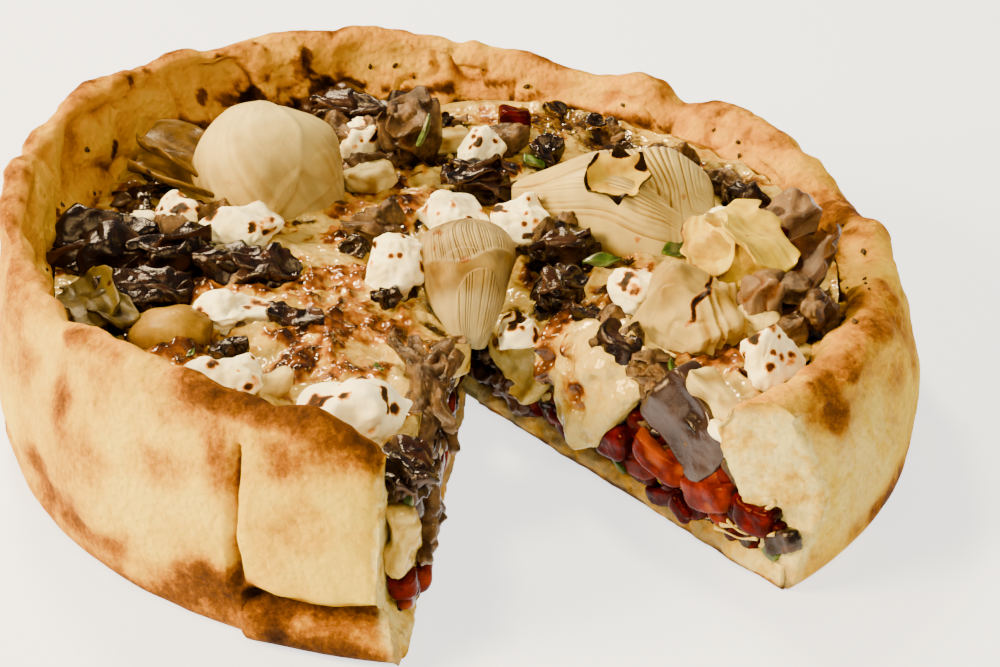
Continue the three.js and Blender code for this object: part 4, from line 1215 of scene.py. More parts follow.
def crumble(index, at, size, turn, scorched):
    """One lump of feta: broken flat, gritty, and scorched on top."""
    points, faces = broken_lump(size, index + 3)
    outward = outward_from_middle(points)
    pitted = 0.6 * spots(points, 2.6, index, 0.4)
    grit = 0.9 * rough(points, 5.0, index) + 0.35 * noise(points, 1.2, index) - pitted
    points = warped(points, 6, 1.6, index) + outward * grit[:, None]
    points = sunk(placed(points, at, tilt=6 * math.sin(index), turn=turn))
    facing_up = rise(outward[:, 2], -0.3, 0.6)
    scorches = spots(warped(points, 3, 1.2, index), 5.5, index + 50, scorched + 0.25, 0.6)
    specks = spots(points, 3, index + 51, 0.5 * scorched + 0.15, 0.55)
    marks = {"char": 0.85 * facing_up * (scorches + 0.8 * specks), "pale": 0 * scorches}
    thing = make_piece(f"feta_lump_{index + 1}", points, faces, marks)
    dress(thing, feta, f"feta_{index + 1}", "feta_cheese")


for index, (at, size, turn, scorched) in enumerate(FETA):
    crumble(index, np.array(at, float), np.array(size, float), turn, scorched)
print(len(FETA), "lumps of feta")

# %% [markdown]
# ### Thin leaves
#
# A leaf is a sheet a millimetre or two thick, cupped across, waved along, and drawn to a tip. A flat
# plane with Solidify would give it a hard square edge, so the upper and the lower side are worked out
# together, and the thickness fades towards the edge. Fibres are noise stretched lengthwise. The same
# sheet, crushed, serves for petals, herb leaves, shreds and strips of aubergine.

# %% Thin leaves
def drawn_out(across, along, size, seed=0):
    """Fine lines that run lengthwise, as fibres do: noise that is stretched along a leaf."""
    return noise(np.stack([across, 0.07 * along, 0 * across], -1), size, seed)


def thin_leaf(
    at, size, turn, tilt=0, roll=0, cup=0.15, wave=0.1, bend=0, blunt=0.6, seed=0, torn=0.0, cells_across=24
):
    """A leaf of this width, length and thickness. cup and wave are shares of its width, bend is in
    millimetres, a small blunt gives a broad tip, and torn says how ragged its edge is."""
    width, length, thickness = size

    def sheet(side, u, v):
        across = 2 * u - 1
        half = width / 2 * np.sin(np.pi * (0.05 + 0.9 * v)) ** blunt
        edge_noise = noise(np.stack([np.sign(across), v * length, 0 * v + seed], -1), 3.0, seed)
        ragged = 1 + torn * edge_noise * np.abs(across) ** 3
        lift = width * (cup * across**2 + wave * np.sin(v * 7 + across * 2 + seed)) + bend * (v - 0.5) ** 2
        veins = 0.22 * drawn_out(across * half, v * length, 1.5, seed)
        edge = np.sqrt(np.clip(1 - across**6, 0.05, 1))
        up = lift + veins + side * thickness / 2 * edge
        return np.stack([across * half * ragged, (v - 0.5) * length, up], -1)

    points, faces, u, v = between_sheets(cells_across, 2 * cells_across, sheet)
    return placed(points, at, tilt, roll, turn), faces, u, v


def towards_edge(u, v):
    """0 along the middle of a leaf, 1 at its edge."""
    return np.maximum(np.abs(2 * u - 1), np.abs(2 * v - 1))


# name, finish, place, size, (turn, tilt, roll), (cup, wave, bend, blunt), seed, how scorched and how torn
LEAVES = [
    ("leaf_back_upper", artichoke_leaf, (-83, 45, 51.5), (25, 34, 1.8), (62, 16, 10),
     (0.16, 0.03, -8, 0.5), 0, 0.2, 0.1),
    ("leaf_back_lower", artichoke_leaf, (-84, 33, 50), (20, 31, 1.8), (74, 14, 8),
     (0.2, 0.03, -8, 0.5), 2, 0.2, 0.1),
    ("tip_charred", golden_leaf, (43, 17, 60.5), (13, 18, 1.5), (112, -12, -34),
     (0.35, 0.05, 7, 0.35), 4, 1.0, 0.8),
    ("leaf_by_wall", dried_leaf, (94, -24, 53), (18, 37, 2), (-38, 26, -22),
     (0.28, 0.06, -14, 0.5), 0, 0.35, 0.3),
]
for name, finish, at, size, turns, curves, seed, scorched, torn in LEAVES:
    points, faces, u, v = thin_leaf(at, size, *turns, *curves, seed, torn, 36)
    points = warped(points, 9, 0.9, seed)
    char = rise(0.7 * noise(points, 4, seed) + scorched * rise(towards_edge(u, v), 0.6, 0.95), 0.5, 0.9)
    pale = 0.1 + 0.5 * drawn_out(size[0] * u, size[1] * v, 1.5, seed)
    marks = {"char": char, "pale": np.clip(pale, 0, 1)}
    thing = make_piece(f"artichoke_piece_{name}", points, faces, marks)
    dress(thing, finish, f"artichoke_{name}", "artichoke_leaf")

print(len(LEAVES), "loose leaves")

# %% [markdown]
# Two of the artichoke pieces are bunches: a crumpled core with a few petals that stand off from it.

# %% Bunches of petals
# how far from the middle, (width, length, thickness), turn, tilt, roll
PETALS = [
    ((2, 1, 7), (22, 27, 1.6), 62, 8, 6),
    ((-8, -3, 3), (15, 20, 1.4), 20, 26, -26),
    ((9, -4, 2), (13, 17, 1.4), -60, 16, 24),
]
SMALL_PETALS = [((-1, 1, 3), (17, 23, 1.6), 4, 6, -12), ((3, -4, 1), (13, 19, 1.4), 20, -6, 14)]


def torn_petals(name, at, size, turn, roll, seed, boxy, finish, petals):
    """A core wrapped in a few loose petals."""
    points, faces = lump(0.8 * np.array(size), boxy=boxy, rough=0.15, seed=seed, detail=4)
    points, crease = crumpled(points, min(size), seed, 0.7)
    parts, char, pale = [(points, faces)], [0.3 * crease], [0.3 * crease]
    for number, (off, outline, spin, tilt, lean) in enumerate(petals):
        points, faces, u, v = thin_leaf(
            np.array(off), outline, spin, tilt, lean, cup=0.14, wave=0.05, bend=-6, blunt=0.3,
            seed=number, torn=0.35, cells_across=30,
        )
        points = warped(points, 8, 1.2, seed + number)
        parts.append((points, faces))
        edge = rise(towards_edge(u, v), 0.9, 1)
        char.append(0.7 * edge * rise(noise(points, 5, seed), 0.1, 0.5) + 0.6 * spots(points, 4, seed, 0.15))
        pale.append(0.3 + 0.5 * drawn_out(outline[0] * u, outline[1] * v, 1.4, number))
    points, faces = joined(parts)
    marks = {"char": np.concatenate(char), "pale": np.clip(np.concatenate(pale), 0, 1)}
    thing = make_piece(f"artichoke_piece_{name}", sunk(placed(points, at, 0, roll, turn)), faces, marks)
    dress(thing, finish, f"artichoke_{name}", "artichoke_leaf")


torn_petals("leafy_right", (76, -13, 52.5), (27, 19, 18), -20, 10, 4, 0.3, golden_leaf, PETALS)
torn_petals("leaf_left", (-98, -36, 45.5), (17, 22, 11), 20, -8, 3, 0.1, olive_leaf, SMALL_PETALS)
print(len(PETALS) + len(SMALL_PETALS), "petals in two bunches")

# %% [markdown]
# ### Aubergine and pepper
#
# Pepper keeps its skin when it is roasted: a soft strip, bent along its length, with fine wrinkles. A
# bevelled box would stay too regular, so each strip is a rounded block that noise has pulled about.

# %% Soft strips and chunks
def soft_strip(size, bend, seed, boxy=0.8, detail=5):
    """A smooth piece with rounded edges, bent along its length."""
    points, faces = lump(size, boxy=boxy, rough=0.1, grain=1.7, seed=seed, detail=detail)
    share = 2 * points[:, 0] / size[0]
    points = points + np.outer(bend * (share**2 - 0.3), [0, 0, 1])
    points = warped(points, 0.8 * min(size), 0.09 * min(size), seed)
    outward = outward_from_middle(points)
    wrinkles = 0.22 * noise(points * [0.35, 1, 1], 1.8, seed) + 0.12 * noise(points, 1.1, seed)
    return points + outward * wrinkles[:, None], faces


print("a strip has", len(soft_strip((10, 6, 5), 1, 0)[1]), "faces")

# %% [markdown]
# Roasted aubergine collapses: its skin lies in thin folded strips over the crumpled flesh, dark and oily
# on top and brown where it has torn. Each of these pieces is a crumpled core with strips laid over it.
# Three are plain lumps, and one is a wet slice that stands on edge in the right cut, with a few broad
# ridges.

# %% Aubergine and pepper pieces
STRIP_THICKNESS = 2.0
SLICE, SOLID_LUMPS = "cut_slab", ("right_lump", "cut_point", "right_wall")
# name, place, size, turn, tilt, roll, boxiness, and whether it is flesh
AUBERGINES_AT_CUT = [
    ("cut_chunk_a", (42.5, -45, 40), (15, 11, 13), -45, 0, 0, 0.35, True),
    ("cut_chunk_b", (53, -56.5, 40.5), (13, 10, 13), -20, 0, 0, 0.35, True),
    ("cut_slab", (61, -67, 32.5), (26, 8.5, 22), -48, 0, 34, 0.6, False),
    ("cut_point", (15, -17, 12.5), (13, 8, 10), -40, 0, 0, 0.35, False),
    ("cut_left_dark", (-10.5, -110, 44), (12, 15, 14), 12, 0, 0, 0.35, False),
    ("cut_left_upper", (-8, -68, 37), (10, 40, 17), -5, 10, 0, 0.35, True),
    ("cut_left_lower", (-7.5, -100, 22), (9, 24, 22), -3, 14, 0, 0.35, True),
]
AUBERGINES_ON_TOP = [
    ("left", (-99, -3, 46), (29, 22, 14), 8, 0, 0, 0.35, False),
    ("strip_a", (-82, -4, 46), (24, 14, 12), 30, 0, 0, 0.35, False),
    ("strip_b", (-60, -9, 45.5), (29, 16, 12), -8, 0, 0, 0.35, False),
    ("back", (-17, 68, 51.5), (18, 15, 26), 20, 12, 0, 0.35, True),
    ("back_wall", (-38, 92, 45), (36, 15, 14), -18, 0, 0, 0.35, False),
    ("middle_a", (6, 44, 46.5), (21, 15, 14), 10, 0, 0, 0.35, False),
    ("middle_b", (28, 8, 45), (18, 14, 11), 18, 0, 0, 0.35, False),
    ("middle_c", (27, -14, 41.5), (14, 12, 13), 40, 0, 0, 0.35, False),
    ("left_rim", (-87, -24, 44), (24, 13, 11), 12, 0, 0, 0.35, False),
    ("brown", (-27, 15, 44.5), (15, 12, 11), 35, 0, 0, 0.35, True),
    ("right_wall", (91, 15, 49), (18, 15, 16), 50, 0, 0, 0.35, True),
    ("right_lump", (83, -33, 50), (16, 15, 16), 10, 0, 0, 0.1, True),
]
# name, place, size, turn, roll, whether it is orange, and seed
PEPPERS = [
    ("cut_orange_a", (55, -62.5, 18.5), (20, 8, 9), -40, 12, True, 40),
    ("cut_orange_b", (67, -75, 16.5), (19, 8, 9), -52, -22, True, 41),
    ("cut_red_a", (78, -86, 17), (13, 8, 9), -48, 0, False, 42),
    ("cut_red_b", (42.5, -49.5, 16), (12, 8, 11), -48, 0, False, 43),
    ("cut_left_red", (-12, -118, 17), (7, 8, 7), 0, 0, False, 44),
    ("cut_left_orange", (-9.5, -109, 13.5), (8, 9, 9), 10, 0, True, 45),
    ("back", (14, 87, 45), (11, 10, 12), 0, 0, False, 90),
]


def wilted_pile(size, seed, strips=5):
    """A crumpled core under thin folded strips. Also says where it is creased and where flesh shows."""
    chance = np.random.default_rng(seed)
    points, faces = lump(0.82 * np.array(size), boxy=0.35, rough=0.14, grain=2, seed=seed, detail=4)
    points, crease = crumpled(points, min(size), seed, 1.2)
    parts, creases, fleshy = [(points, faces)], [crease], [0.5 * rise(noise(points, 5, seed), 0, 0.5)]
    lengthwise = 90 if size[0] > size[1] else 0
    for number in range(strips):
        outline = (
            chance.uniform(0.5, 0.85) * min(size[:2]), chance.uniform(0.75, 1.1) * max(size[:2]),
            STRIP_THICKNESS,
        )
        at = chance.uniform(-0.24, 0.24, 3) * size + [0, 0, 0.14 * size[2]]
        points, faces, u, v = thin_leaf(
            at, outline, lengthwise + chance.uniform(-28, 28), tilt=chance.uniform(-14, 14),
            roll=chance.uniform(-30, 30), cup=chance.uniform(-0.3, 0.2),
            bend=chance.uniform(-0.5, 0) * min(size[:2]),
            wave=0.1, blunt=0.5, seed=seed + number, torn=0.4, cells_across=16,
        )
        points = warped(warped(points, 7, 1.6, seed + number), 3, 0.7, seed + number)
        parts.append((points, faces))
        underside = np.arange(len(u)) >= len(u) // 2
        creases.append(bump(noise(points, 3, seed + number), 0.15))
        fleshy.append(0.7 * underside + 0.4 * rise(noise(points, 5, number), 0.2, 0.6))
    points, faces = joined(parts)
    return points, faces, np.concatenate(creases), np.concatenate(fleshy)


def cook_aubergine(entries, first_seed, on_top):
    """Makes the pieces of a table. Those on top are cut short below the cheese."""
    for index, (name, at, size, turn, tilt, roll, boxy, flesh) in enumerate(entries):
        seed = first_seed + index
        if name == SLICE:
            points, faces = lump(size, boxy=1.6, rough=0.03, grain=2, seed=seed, detail=6)
            points = warped(points, 12, 1.3, seed)
            points = warped(points, 6, 0.7, seed)
            ridges = 1.3 * noise(points * [0.5, 1, 1], 7, seed + 1) + 0.25 * noise(points, 2.2, seed + 2)
            points = points + np.outer(ridges, [0, -1, 0]) * rise(-points[:, 1], 0, 2)[:, None]
            crease, torn = 0 * points[:, 0], 0.2 + 0.3 * noise(points, 6, seed)
        elif name in SOLID_LUMPS:
            points, faces = lump(size, boxy=boxy, rough=0.18, grain=2.2, seed=seed, detail=6)
            points, crease = crumpled(warped(points, 9, 2.6, seed), 0.8 * min(size), seed, 0.9)
            torn = 0.6 + 0.5 * rise(rough(points, 6, seed + 5), -0.2, 0.6)
        else:
            points, faces, crease, torn = wilted_pile(size, seed, 9 if "cut_left" in name else 5)
        points = placed(points, at, tilt, roll, turn)
        if on_top:
            points = sunk(points)
        marks = {"char": 0.4 * crease, "pale": 0.8 * torn}
        thing = make_piece(f"aubergine_piece_{name}", points, faces, marks)
        finish = aubergine_flesh if flesh else peeled_skin if name == SLICE else aubergine_skin
        slot_name = "aubergine_flesh" if flesh else "aubergine_skin"
        dress(thing, finish, f"aubergine_{name}", slot_name)


def cook_peppers():
    """Makes the strips of pepper, red or orange."""
    for name, at, size, turn, roll, orange, seed in PEPPERS:
        points, faces = soft_strip(size, 1.5, seed, boxy=0.5)
        crease = bump(noise(points, 4, seed), 0.12)
        points = placed(points, at, 0, roll, turn)
        if "cut" not in name:
            points = sunk(points)
        marks = {"char": 0.3 * crease, "pale": 0.6 * rise(noise(points, 5, seed), 0.3, 0.8)}
        thing = make_piece(f"pepper_piece_{name}", points, faces, marks)
        finish, slot_name = (orange_pepper, "orange_pepper") if orange else (red_pepper, "red_pepper")
        dress(thing, finish, f"pepper_{name}", slot_name)


cook_aubergine(AUBERGINES_AT_CUT, 11, False)
cook_aubergine(AUBERGINES_ON_TOP, 70, True)
cook_peppers()
print(len(AUBERGINES_AT_CUT + AUBERGINES_ON_TOP), "aubergine pieces and", len(PEPPERS), "of pepper")

# %% [markdown]
# One lump of mozzarella was pulled out of the left cut. It is crumpled like the vegetables, but in the
# finish of the melted cheese, hardly browned.

# %% Lump of mozzarella
points, faces = lump((8, 16, 20), boxy=0.2, rough=0.1, seed=9)
points, crease = crumpled(points, 9, 9, 0.8)
marks = {"roast": 0.1 * crease, "bare": 0.2 * crease}
thing = make_piece("mozzarella_lump_left", placed(points, (-12, -115, 30)), faces, marks)
dress(thing, mozzarella, "mozzarella_cut_left", "melted_mozzarella")
print(thing.name, len(faces), "faces")

# %% [markdown]
# ### Artichokes
#
# An artichoke heart is a rosette of overlapping scales on a fleshy foot. Whole, it is a smooth dome on
# which each scale ends in a low step, and the scales could be modelled one by one, but they are pressed
# so close that a step in the dome shows as much. A piece torn off a heart has flat breaks, and fibres on
# one side.

# %% Artichoke hearts
# name, place, size, turn, tilt, roll, seed, boxiness, unevenness, number of scales and their step
HEARTS = [
    ("heart_back", (-57, 41, 51), (43, 36, 36), 25, -12, 0, 2, 0.12, 0.09, 4, 0.55),
    ("heart_left", (-77, -45, 43.5), (22, 20, 13), 15, 0, 0, 5, 0.1, 0.08, 2, 0.3),
]


def heart(name, at, size, turn, tilt, roll, seed, boxy, rough, scales, step):
    """A whole heart: a smooth dome on which each scale ends in a low step."""
    points, faces = lump(size, boxy=boxy, rough=rough, seed=seed, detail=6)
    points = warped(points, 0.45 * min(size), 0.07 * min(size), seed)
    direction = outward_from_middle(points)
    chance = np.random.default_rng(seed)
    lift, edges = 0, 0
    for _ in range(scales):
        facing = chance.normal(size=3) * [1, 1, 0.6]
        facing /= np.linalg.norm(facing)
        away = np.arccos(np.clip(direction @ facing, -1, 1)) + 0.14 * noise(points, 15, seed)
        reach = chance.uniform(0.8, 1.2)
        lift = lift + step * rise(reach - away, 0, 0.06)
        edges = np.maximum(edges, bump(reach - away, 0.03))
    around = np.arctan2(points[:, 1] / size[1], points[:, 0] / size[0]) * size[0] / 2
    lines = drawn_out(around + 0.5 * points[:, 2], points[:, 2], 1.5, seed)
    wrapped = direction @ [-0.80, -0.35, 0.10] + 0.10 * noise(points, 12, seed + 4) + 0.012 * points[:, 2]
    lift = lift + 1.5 * rise(wrapped, 0.36, 0.42) * (name == "heart_back")
    lift = lift + 0.07 * lines + 0.6 * noise(points, 11, seed + 3) + 0.25 * noise(points, 4, seed + 5)
    points = sunk(placed(points + direction * lift[:, None], at, tilt, roll, turn))
    pale = 0.32 + 0.13 * lines + 0.12 * noise(points, 2.5, seed + 7) + 0.25 * noise(points, 12, seed)
    # the scales are painted paler towards the top of the dome: painted light from above
    pale = pale + 0.45 * rise(points[:, 2], at[2] + 2, at[2] + 16) - 0.55 * (name == "heart_left")
    stains = 0.3 * rise(noise(points, 7, seed + 6), 0.6, 0.9)
    char = np.maximum(0.1 * edges * (noise(points, 9, seed) > -0.2), stains)
    marks = {"pale": np.clip(pale, 0, 1), "char": char}
    thing = make_piece(f"artichoke_piece_{name}", points, faces, marks)
    dress(thing, artichoke_flesh, f"artichoke_{name}", "artichoke_heart")


def torn_heart(name, at, size, turn, roll, seed):
    """A piece torn off a heart: flat faces, fibres on its right side, and one burnt streak."""
    points, faces = broken_lump(size, seed, 6)
    points, _ = crumpled(warped(warped(points, 9, 1.6, seed), 3.5, 0.35, seed + 1), 13, seed, 0.6)
    direction = outward_from_middle(points)
    leafy = rise(points[:, 0] + 3 * noise(points, 7, seed), 2, 6)
    lines = drawn_out(points[:, 0] + 0.6 * points[:, 1], points[:, 2] - points[:, 1], 1.3, seed)
    points = points + direction * (leafy * 0.8 * lines + 0.35 * noise(points, 3, seed))[:, None]
    drifting = 2.4 * noise(points, 6, seed) + 0.7 * noise(points, 2, seed)
    streak = bump(points[:, 0] - 1.5 - 0.16 * points[:, 2] + drifting, 1.0) * rise(points[:, 2], 0, 5)
    nicks = 0.8 * spots(points, 6, seed + 2, 0.25, 0.22)
    pale = 0.26 - 0.2 * leafy + 0.5 * leafy * lines + 0.3 * noise(points, 8, seed)
    marks = {"pale": np.clip(pale, 0, 1), "char": np.maximum(0.9 * streak, nicks)}
    thing = make_piece(f"artichoke_piece_{name}", sunk(placed(points, at, 0, roll, turn)), faces, marks)
    dress(thing, artichoke_flesh, f"artichoke_{name}", "artichoke_heart")


for entry in HEARTS:
    heart(*entry)
torn_heart("heart_right", (62, -33, 47), (30, 24, 23), -14, 12, 6)
print(len(HEARTS) + 1, "hearts")

# %% [markdown]
# Halved and laid on its side, a heart shows pleats as fine as paper. Such lines could be a bump, but from
# the side a bump is flat, so they are cut into the mesh: furrows about evenly spaced, which fade in and
# out. Each furrow is also painted darker by its depth, as painted shade.

# %% Halved hearts
FAN, WEDGE = (42, 60, 24), (28, 42, 20)  # width, length and height of the two halves
HALF_COLUMNS, HALF_ROWS = 150, 190


def fan_shape(size, foot, relief):
    """The outline of half a heart on its side, with a relief in millimetres given for u and v."""
    width, length, height = size

    def sheet(side, u, v):
        across = 2 * u - 1
        taper = foot + (1 - foot) * np.sin(v * np.pi / 1.6)
        outline = taper * np.sqrt(1 - (2 * v - 1) ** 6)
        round_off = np.sqrt(1 - across**4) * np.sin(np.pi * (0.08 + 0.84 * v))
        lift = (0.8 if side > 0 else -0.2) * round_off * height
        fine = sum(relief(u, v)) * rise(round_off, 0, 0.3) * (side > 0)
        return np.stack([across * outline * width / 2, (v - 0.5) * length, lift + fine], -1)

    return between_sheets(HALF_COLUMNS, HALF_ROWS, sheet)


def slanted_pleats(u, v):
    """Where the pleats of the cup are cut across: millimetres along its length, slanted."""
    return FAN[1] * v - 0.35 * FAN[0] * u + 1.2 * np.sin(7 * u)


def lines_across(place, spacing, seed, along=0.0):
    """Thin dark furrows, about evenly spaced, that fade in and out."""
    place = place + 0.8 * noise(np.stack([place, 0.25 * along + 0 * place, 0 * place], -1), 5, seed)
    share = place / spacing
    fading = np.stack([np.floor(share) * 7.3, 0.15 * along + 0 * place, 0 * place], -1)
    strength = np.clip(0.45 + 0.8 * noise(fading, 2.3, seed), 0, 1)
    return -bump((share % 1) - 0.5, 0.17) * strength


def cup_relief(u, v):
    """Smooth at the tip, pleated in the middle, and on its near side a roll of long grooves. Gives the broad
    shape and the fine lines apart."""
    across, along = FAN[0] * u, FAN[1] * v
    near = u + 0.14 * np.sin(4.5 * v - 0.4)
    roll = rise(near, 0.62, 0.68) * (1 - rise(v, 0.80, 0.9))
    pleated = rise(v, 0.34, 0.48) * (1 - rise(v, 0.86, 0.96)) * rise(u, 0.05, 0.2) * (1 - roll)
    smooth = (1 - pleated) * (1 - roll)
    broad = 1.6 * np.sin(np.pi * rise(near, 0.62, 1.0)) * roll
    broad = broad - 1.8 * bump(near - 0.63, 0.02) * (1 - rise(v, 0.8, 0.9))
    fine = 1.1 * pleated * lines_across(slanted_pleats(u, v), 1.9, 3, across)
    fine = fine + 0.8 * roll * lines_across(across, 1.25, 5, along)
    return broad, fine + 0.45 * smooth * lines_across(across + 0.3 * along, 1.4, 4, along)


def wedge_relief(u, v):
    """A fringe of bristles on top, a smooth shoulder, and a striped inner leaf towards the point."""
    across, along = WEDGE[0] * u, WEDGE[1] * v
    fringe = rise(v + 0.06 * np.sin(5 * u), 0.60, 0.64)
    inner = rise(1 - ((u - 0.58) / 0.34) ** 2 - ((v - 0.24) / 0.26) ** 2, 0, 0.1)
    middle = rise(1 - ((u - 0.46) / 0.44) ** 2 - ((v - 0.36) / 0.30) ** 2, 0, 0.1)
    spread = across + 0.5 * (u - 0.5) * along
    uneven = 0.4 * noise(np.stack([across, along, 0 * u], -1), 6, 7)
    fine = 0.7 * fringe * lines_across(spread, 1.15, 5, along)
    fine = fine + 0.4 * inner * lines_across(across, 1.3, 6, along)
    return 0.9 * inner + 0.8 * middle - 0.7 * fringe + uneven, fine


# name, place, size, turn, tilt, roll, width of the foot, relief and seed
HALVES = [
    ("fan_right", (44, 29, 44), FAN, -104, 2, 16, 0.35, cup_relief, 3),
    ("wedge_middle", (2, -12, 41), WEDGE, 6, 44, 0, 0.3, wedge_relief, 8),
]
for name, at, size, turn, tilt, roll, foot, relief, seed in HALVES:
    points, faces, u, v = fan_shape(size, foot, relief)
    fine = relief(u, v)[1]
    points = sunk(placed(warped(points, 14, 2.0, seed), at, tilt, roll, turn))
    stain = 0.40 * rise(noise(points, 7, seed) + 0.3 * noise(points, 2, seed), 0.75, 1.0)
    fringed = 0.1 + 0.36 * rise(v + 0.06 * np.sin(5 * u), 0.58, 0.64) + 0.6 * (1 - rise(v, 0.3, 0.42))
    whitened = 0.66 if relief is cup_relief else fringed
    # the furrows are painted darker by their depth: painted shade in them
    pale = whitened + 1.1 * fine + 0.25 * noise(points, 10, seed) + 0.12 * noise(points, 2.5, seed + 1)
    marks = {"pale": np.clip(pale, 0, 1), "char": stain}
    thing = make_piece(f"artichoke_piece_{name}", points, faces, marks)
    # the wedge takes the darker finish: painted shade
    finish = artichoke_flesh if relief is cup_relief else shaded_heart
    dress(thing, finish, f"artichoke_{name}", "artichoke_heart")

print(len(HALVES), "halved hearts")

# %% [markdown]
# ### Herb leaves
#
# Three whole leaves of a green herb lie on the cheese. They are thin leaves again, small, with a pale
# midrib.

# %% Herb leaves
# name, place, size and turn
HERBS = [
    ("middle", (39, -2, 45), (6, 11, 0.8), -80),
    ("right", (61, 4, 46), (7, 11, 0.8), -60),
    ("back", (20, 60, 45.5), (6, 10, 0.8), 30),
]
for seed, (name, at, size, turn) in enumerate(HERBS):
    leaf = thin_leaf(at, size, turn, roll=8, cup=0.12, wave=0.08, blunt=0.8, seed=seed, cells_across=10)
    points, faces, u, v = leaf
    marks = {"pale": 0.5 * bump(2 * u - 1, 0.08), "char": 0 * u}
    thing = make_piece(f"herb_piece_{name}", points, faces, marks)
    dress(thing, herb, f"herb_leaf_{name}", "herb_leaf")
print(len(HERBS), "herb leaves")

# %% [markdown]
# ## The cut faces
#
# Each cut is a plane through the middle of the pizza. Places on it are given as on a drawing: a radius, a
# height, and how far they stand out into the missing slice.

# %% Cut faces
AXIS_OF_CUT = {"right": CUT_RIGHT, "left": CUT_LEFT}
CUT_FRAMES = {}  # the direction out along each cut, and the direction into the missing slice
for cut, way in (("right", -1), ("left", 1)):
    angle = math.radians(AXIS_OF_CUT[cut])
    along = np.array([math.cos(angle), math.sin(angle), 0])
    into = way * np.array([-math.sin(angle), math.cos(angle), 0])
    CUT_FRAMES[cut] = (along, into)


def at_cut(cut, radius, height, out):
    """The place on a cut face at this radius and height, `out` millimetres into the missing slice."""
    along, into = CUT_FRAMES[cut]
    radius, height, out = (np.asarray(value, float)[..., None] for value in (radius, height, out))
    return radius * along + out * into + height * np.array([0, 0, 1])


print("100 mm out on the right cut:", at_cut("right", 100, 0, 0).round(1))

# %% [markdown]
# ### What the knife pulled along
#
# On the right face the cheese has run down over the cut and set in a thick drape with a hanging drip. A
# cloth or fluid simulation could find such a shape, but not one that ends where it should. So the drape
# is a sheet that starts on top of the cheese, turns over the edge and follows a drawn lower edge, with
# runs and lumps added.

# %% Cheese drape
# radius and height of its lower edge
DRAPE_EDGE = [
    (11, 25), (18, 20), (25, 10), (33, 12), (39, 22), (44, 20), (50, 12), (56, 9), (62, 12), (67, 22),
    (76, 36),
]
DRAPE_FROM, DRAPE_TO = DRAPE_EDGE[0][0], DRAPE_EDGE[-1][0]
DRAPE_COLUMNS, DRAPE_ROWS = 200, 130
# radius, height and reach of the blisters on it
DRAPE_BLISTERS = [
    (37, 26, 4), (39, 33, 3.5), (54, 27, 4.5), (37, 39, 5), (24, 34, 4), (20, 27, 3), (47, 37, 3),
]


def roasted_at(radius, height):
    """How strongly the drape has blistered."""
    return strongest(radius, height, [(*blister, 1.0) for blister in DRAPE_BLISTERS])


def drape(side, u, v):
    """The sheet: u runs along the cut and v from the top of the cheese to the lower edge."""
    radius = DRAPE_FROM + (DRAPE_TO - DRAPE_FROM) * u
    along, into = CUT_FRAMES["right"]
    edge_x, edge_y = radius * along[0], radius * along[1]
    top = cheese_height(edge_x, edge_y) + 1.0
    ragged = 1.3 * noise(np.stack([radius, 0 * u, 0 * u], -1), 4, 67) * rise(v, 0.5, 1)
    low = np.interp(radius, *zip(*DRAPE_EDGE)) + ragged
    hanging = bump(radius - 56, 11) * np.sin(np.pi * rise(v, 0.25, 1.15))
    out = -9 + 10.0 * rise(v, 0, 0.42) + 3.0 * hanging
    height = top - (top - low) * rise(v, 0.22, 1.05) / rise(1.0, 0.22, 1.05)
    steep = rise(v, 0.15, 0.45)
    ends = np.sqrt(np.clip(1 - np.abs(2 * u - 1) ** 5, 0, 1))
    ends = ends * np.sqrt(np.clip(1 - (2 * v - 1) ** 10, 0, 1))
    thick = (0.3 + (1.5 + 1.2 * bump(radius - 56, 12) + 0.6 * rise(v, 0.5, 0.9)) * ends) * side
    flat = np.stack([radius, height, 0 * radius], -1)
    runs = noise(warped(flat * [1, 0.45, 1], 9, 3, 64), 6, 61)
    roasted = roasted_at(radius, height)
    drip = 2.6 * bump(radius - 55, 9) * rise(v, 0.55, 0.95)
    lumps = 3.2 * runs + 1.2 * noise(flat, 3.4, 62) + 1.4 * rise(roasted, 0.4, 0.8) + drip
    offset = thick + lumps * ends * (side > 0)
    return at_cut("right", radius, height + offset * (1 - steep), out + offset * steep)


points, faces, _, _ = between_sheets(DRAPE_COLUMNS, DRAPE_ROWS, drape)
thing = make_piece("cheese_drape", points, faces)
points, normals = points_of(thing)
roasted = roasted_at(points @ CUT_FRAMES["right"][0], points[:, 2])
blister = rise(roasted + 0.5 * rough(points, 5, 63), 0.35, 0.8)
halo = rise(roasted + 0.4 * noise(points, 6, 66), 0.05, 0.5)
brown = 0.05 * noise(points, 7, 68) + 0.24 * halo + blister * (0.32 + 0.15 * noise(points, 2.4, 65))
points = points + normals * (0.35 * blister * noise(points, 2.4, 65))[:, None]
move_points(thing, points)
dress(thing, mozzarella, None, "melted_mozzarella", roast=brown, bare=0 * brown)
print("drape:", len(thing.data.polygons), "faces")

# %% [markdown]
# Threads of cheese hang between the faces and the base. A curve with a bevel would do, but a thread is
# thick at its ends and thin in the middle, so its skin is worked out round a sagging line.

# %% Cheese strings
STRING_ROWS, STRING_COLUMNS = 10, 30


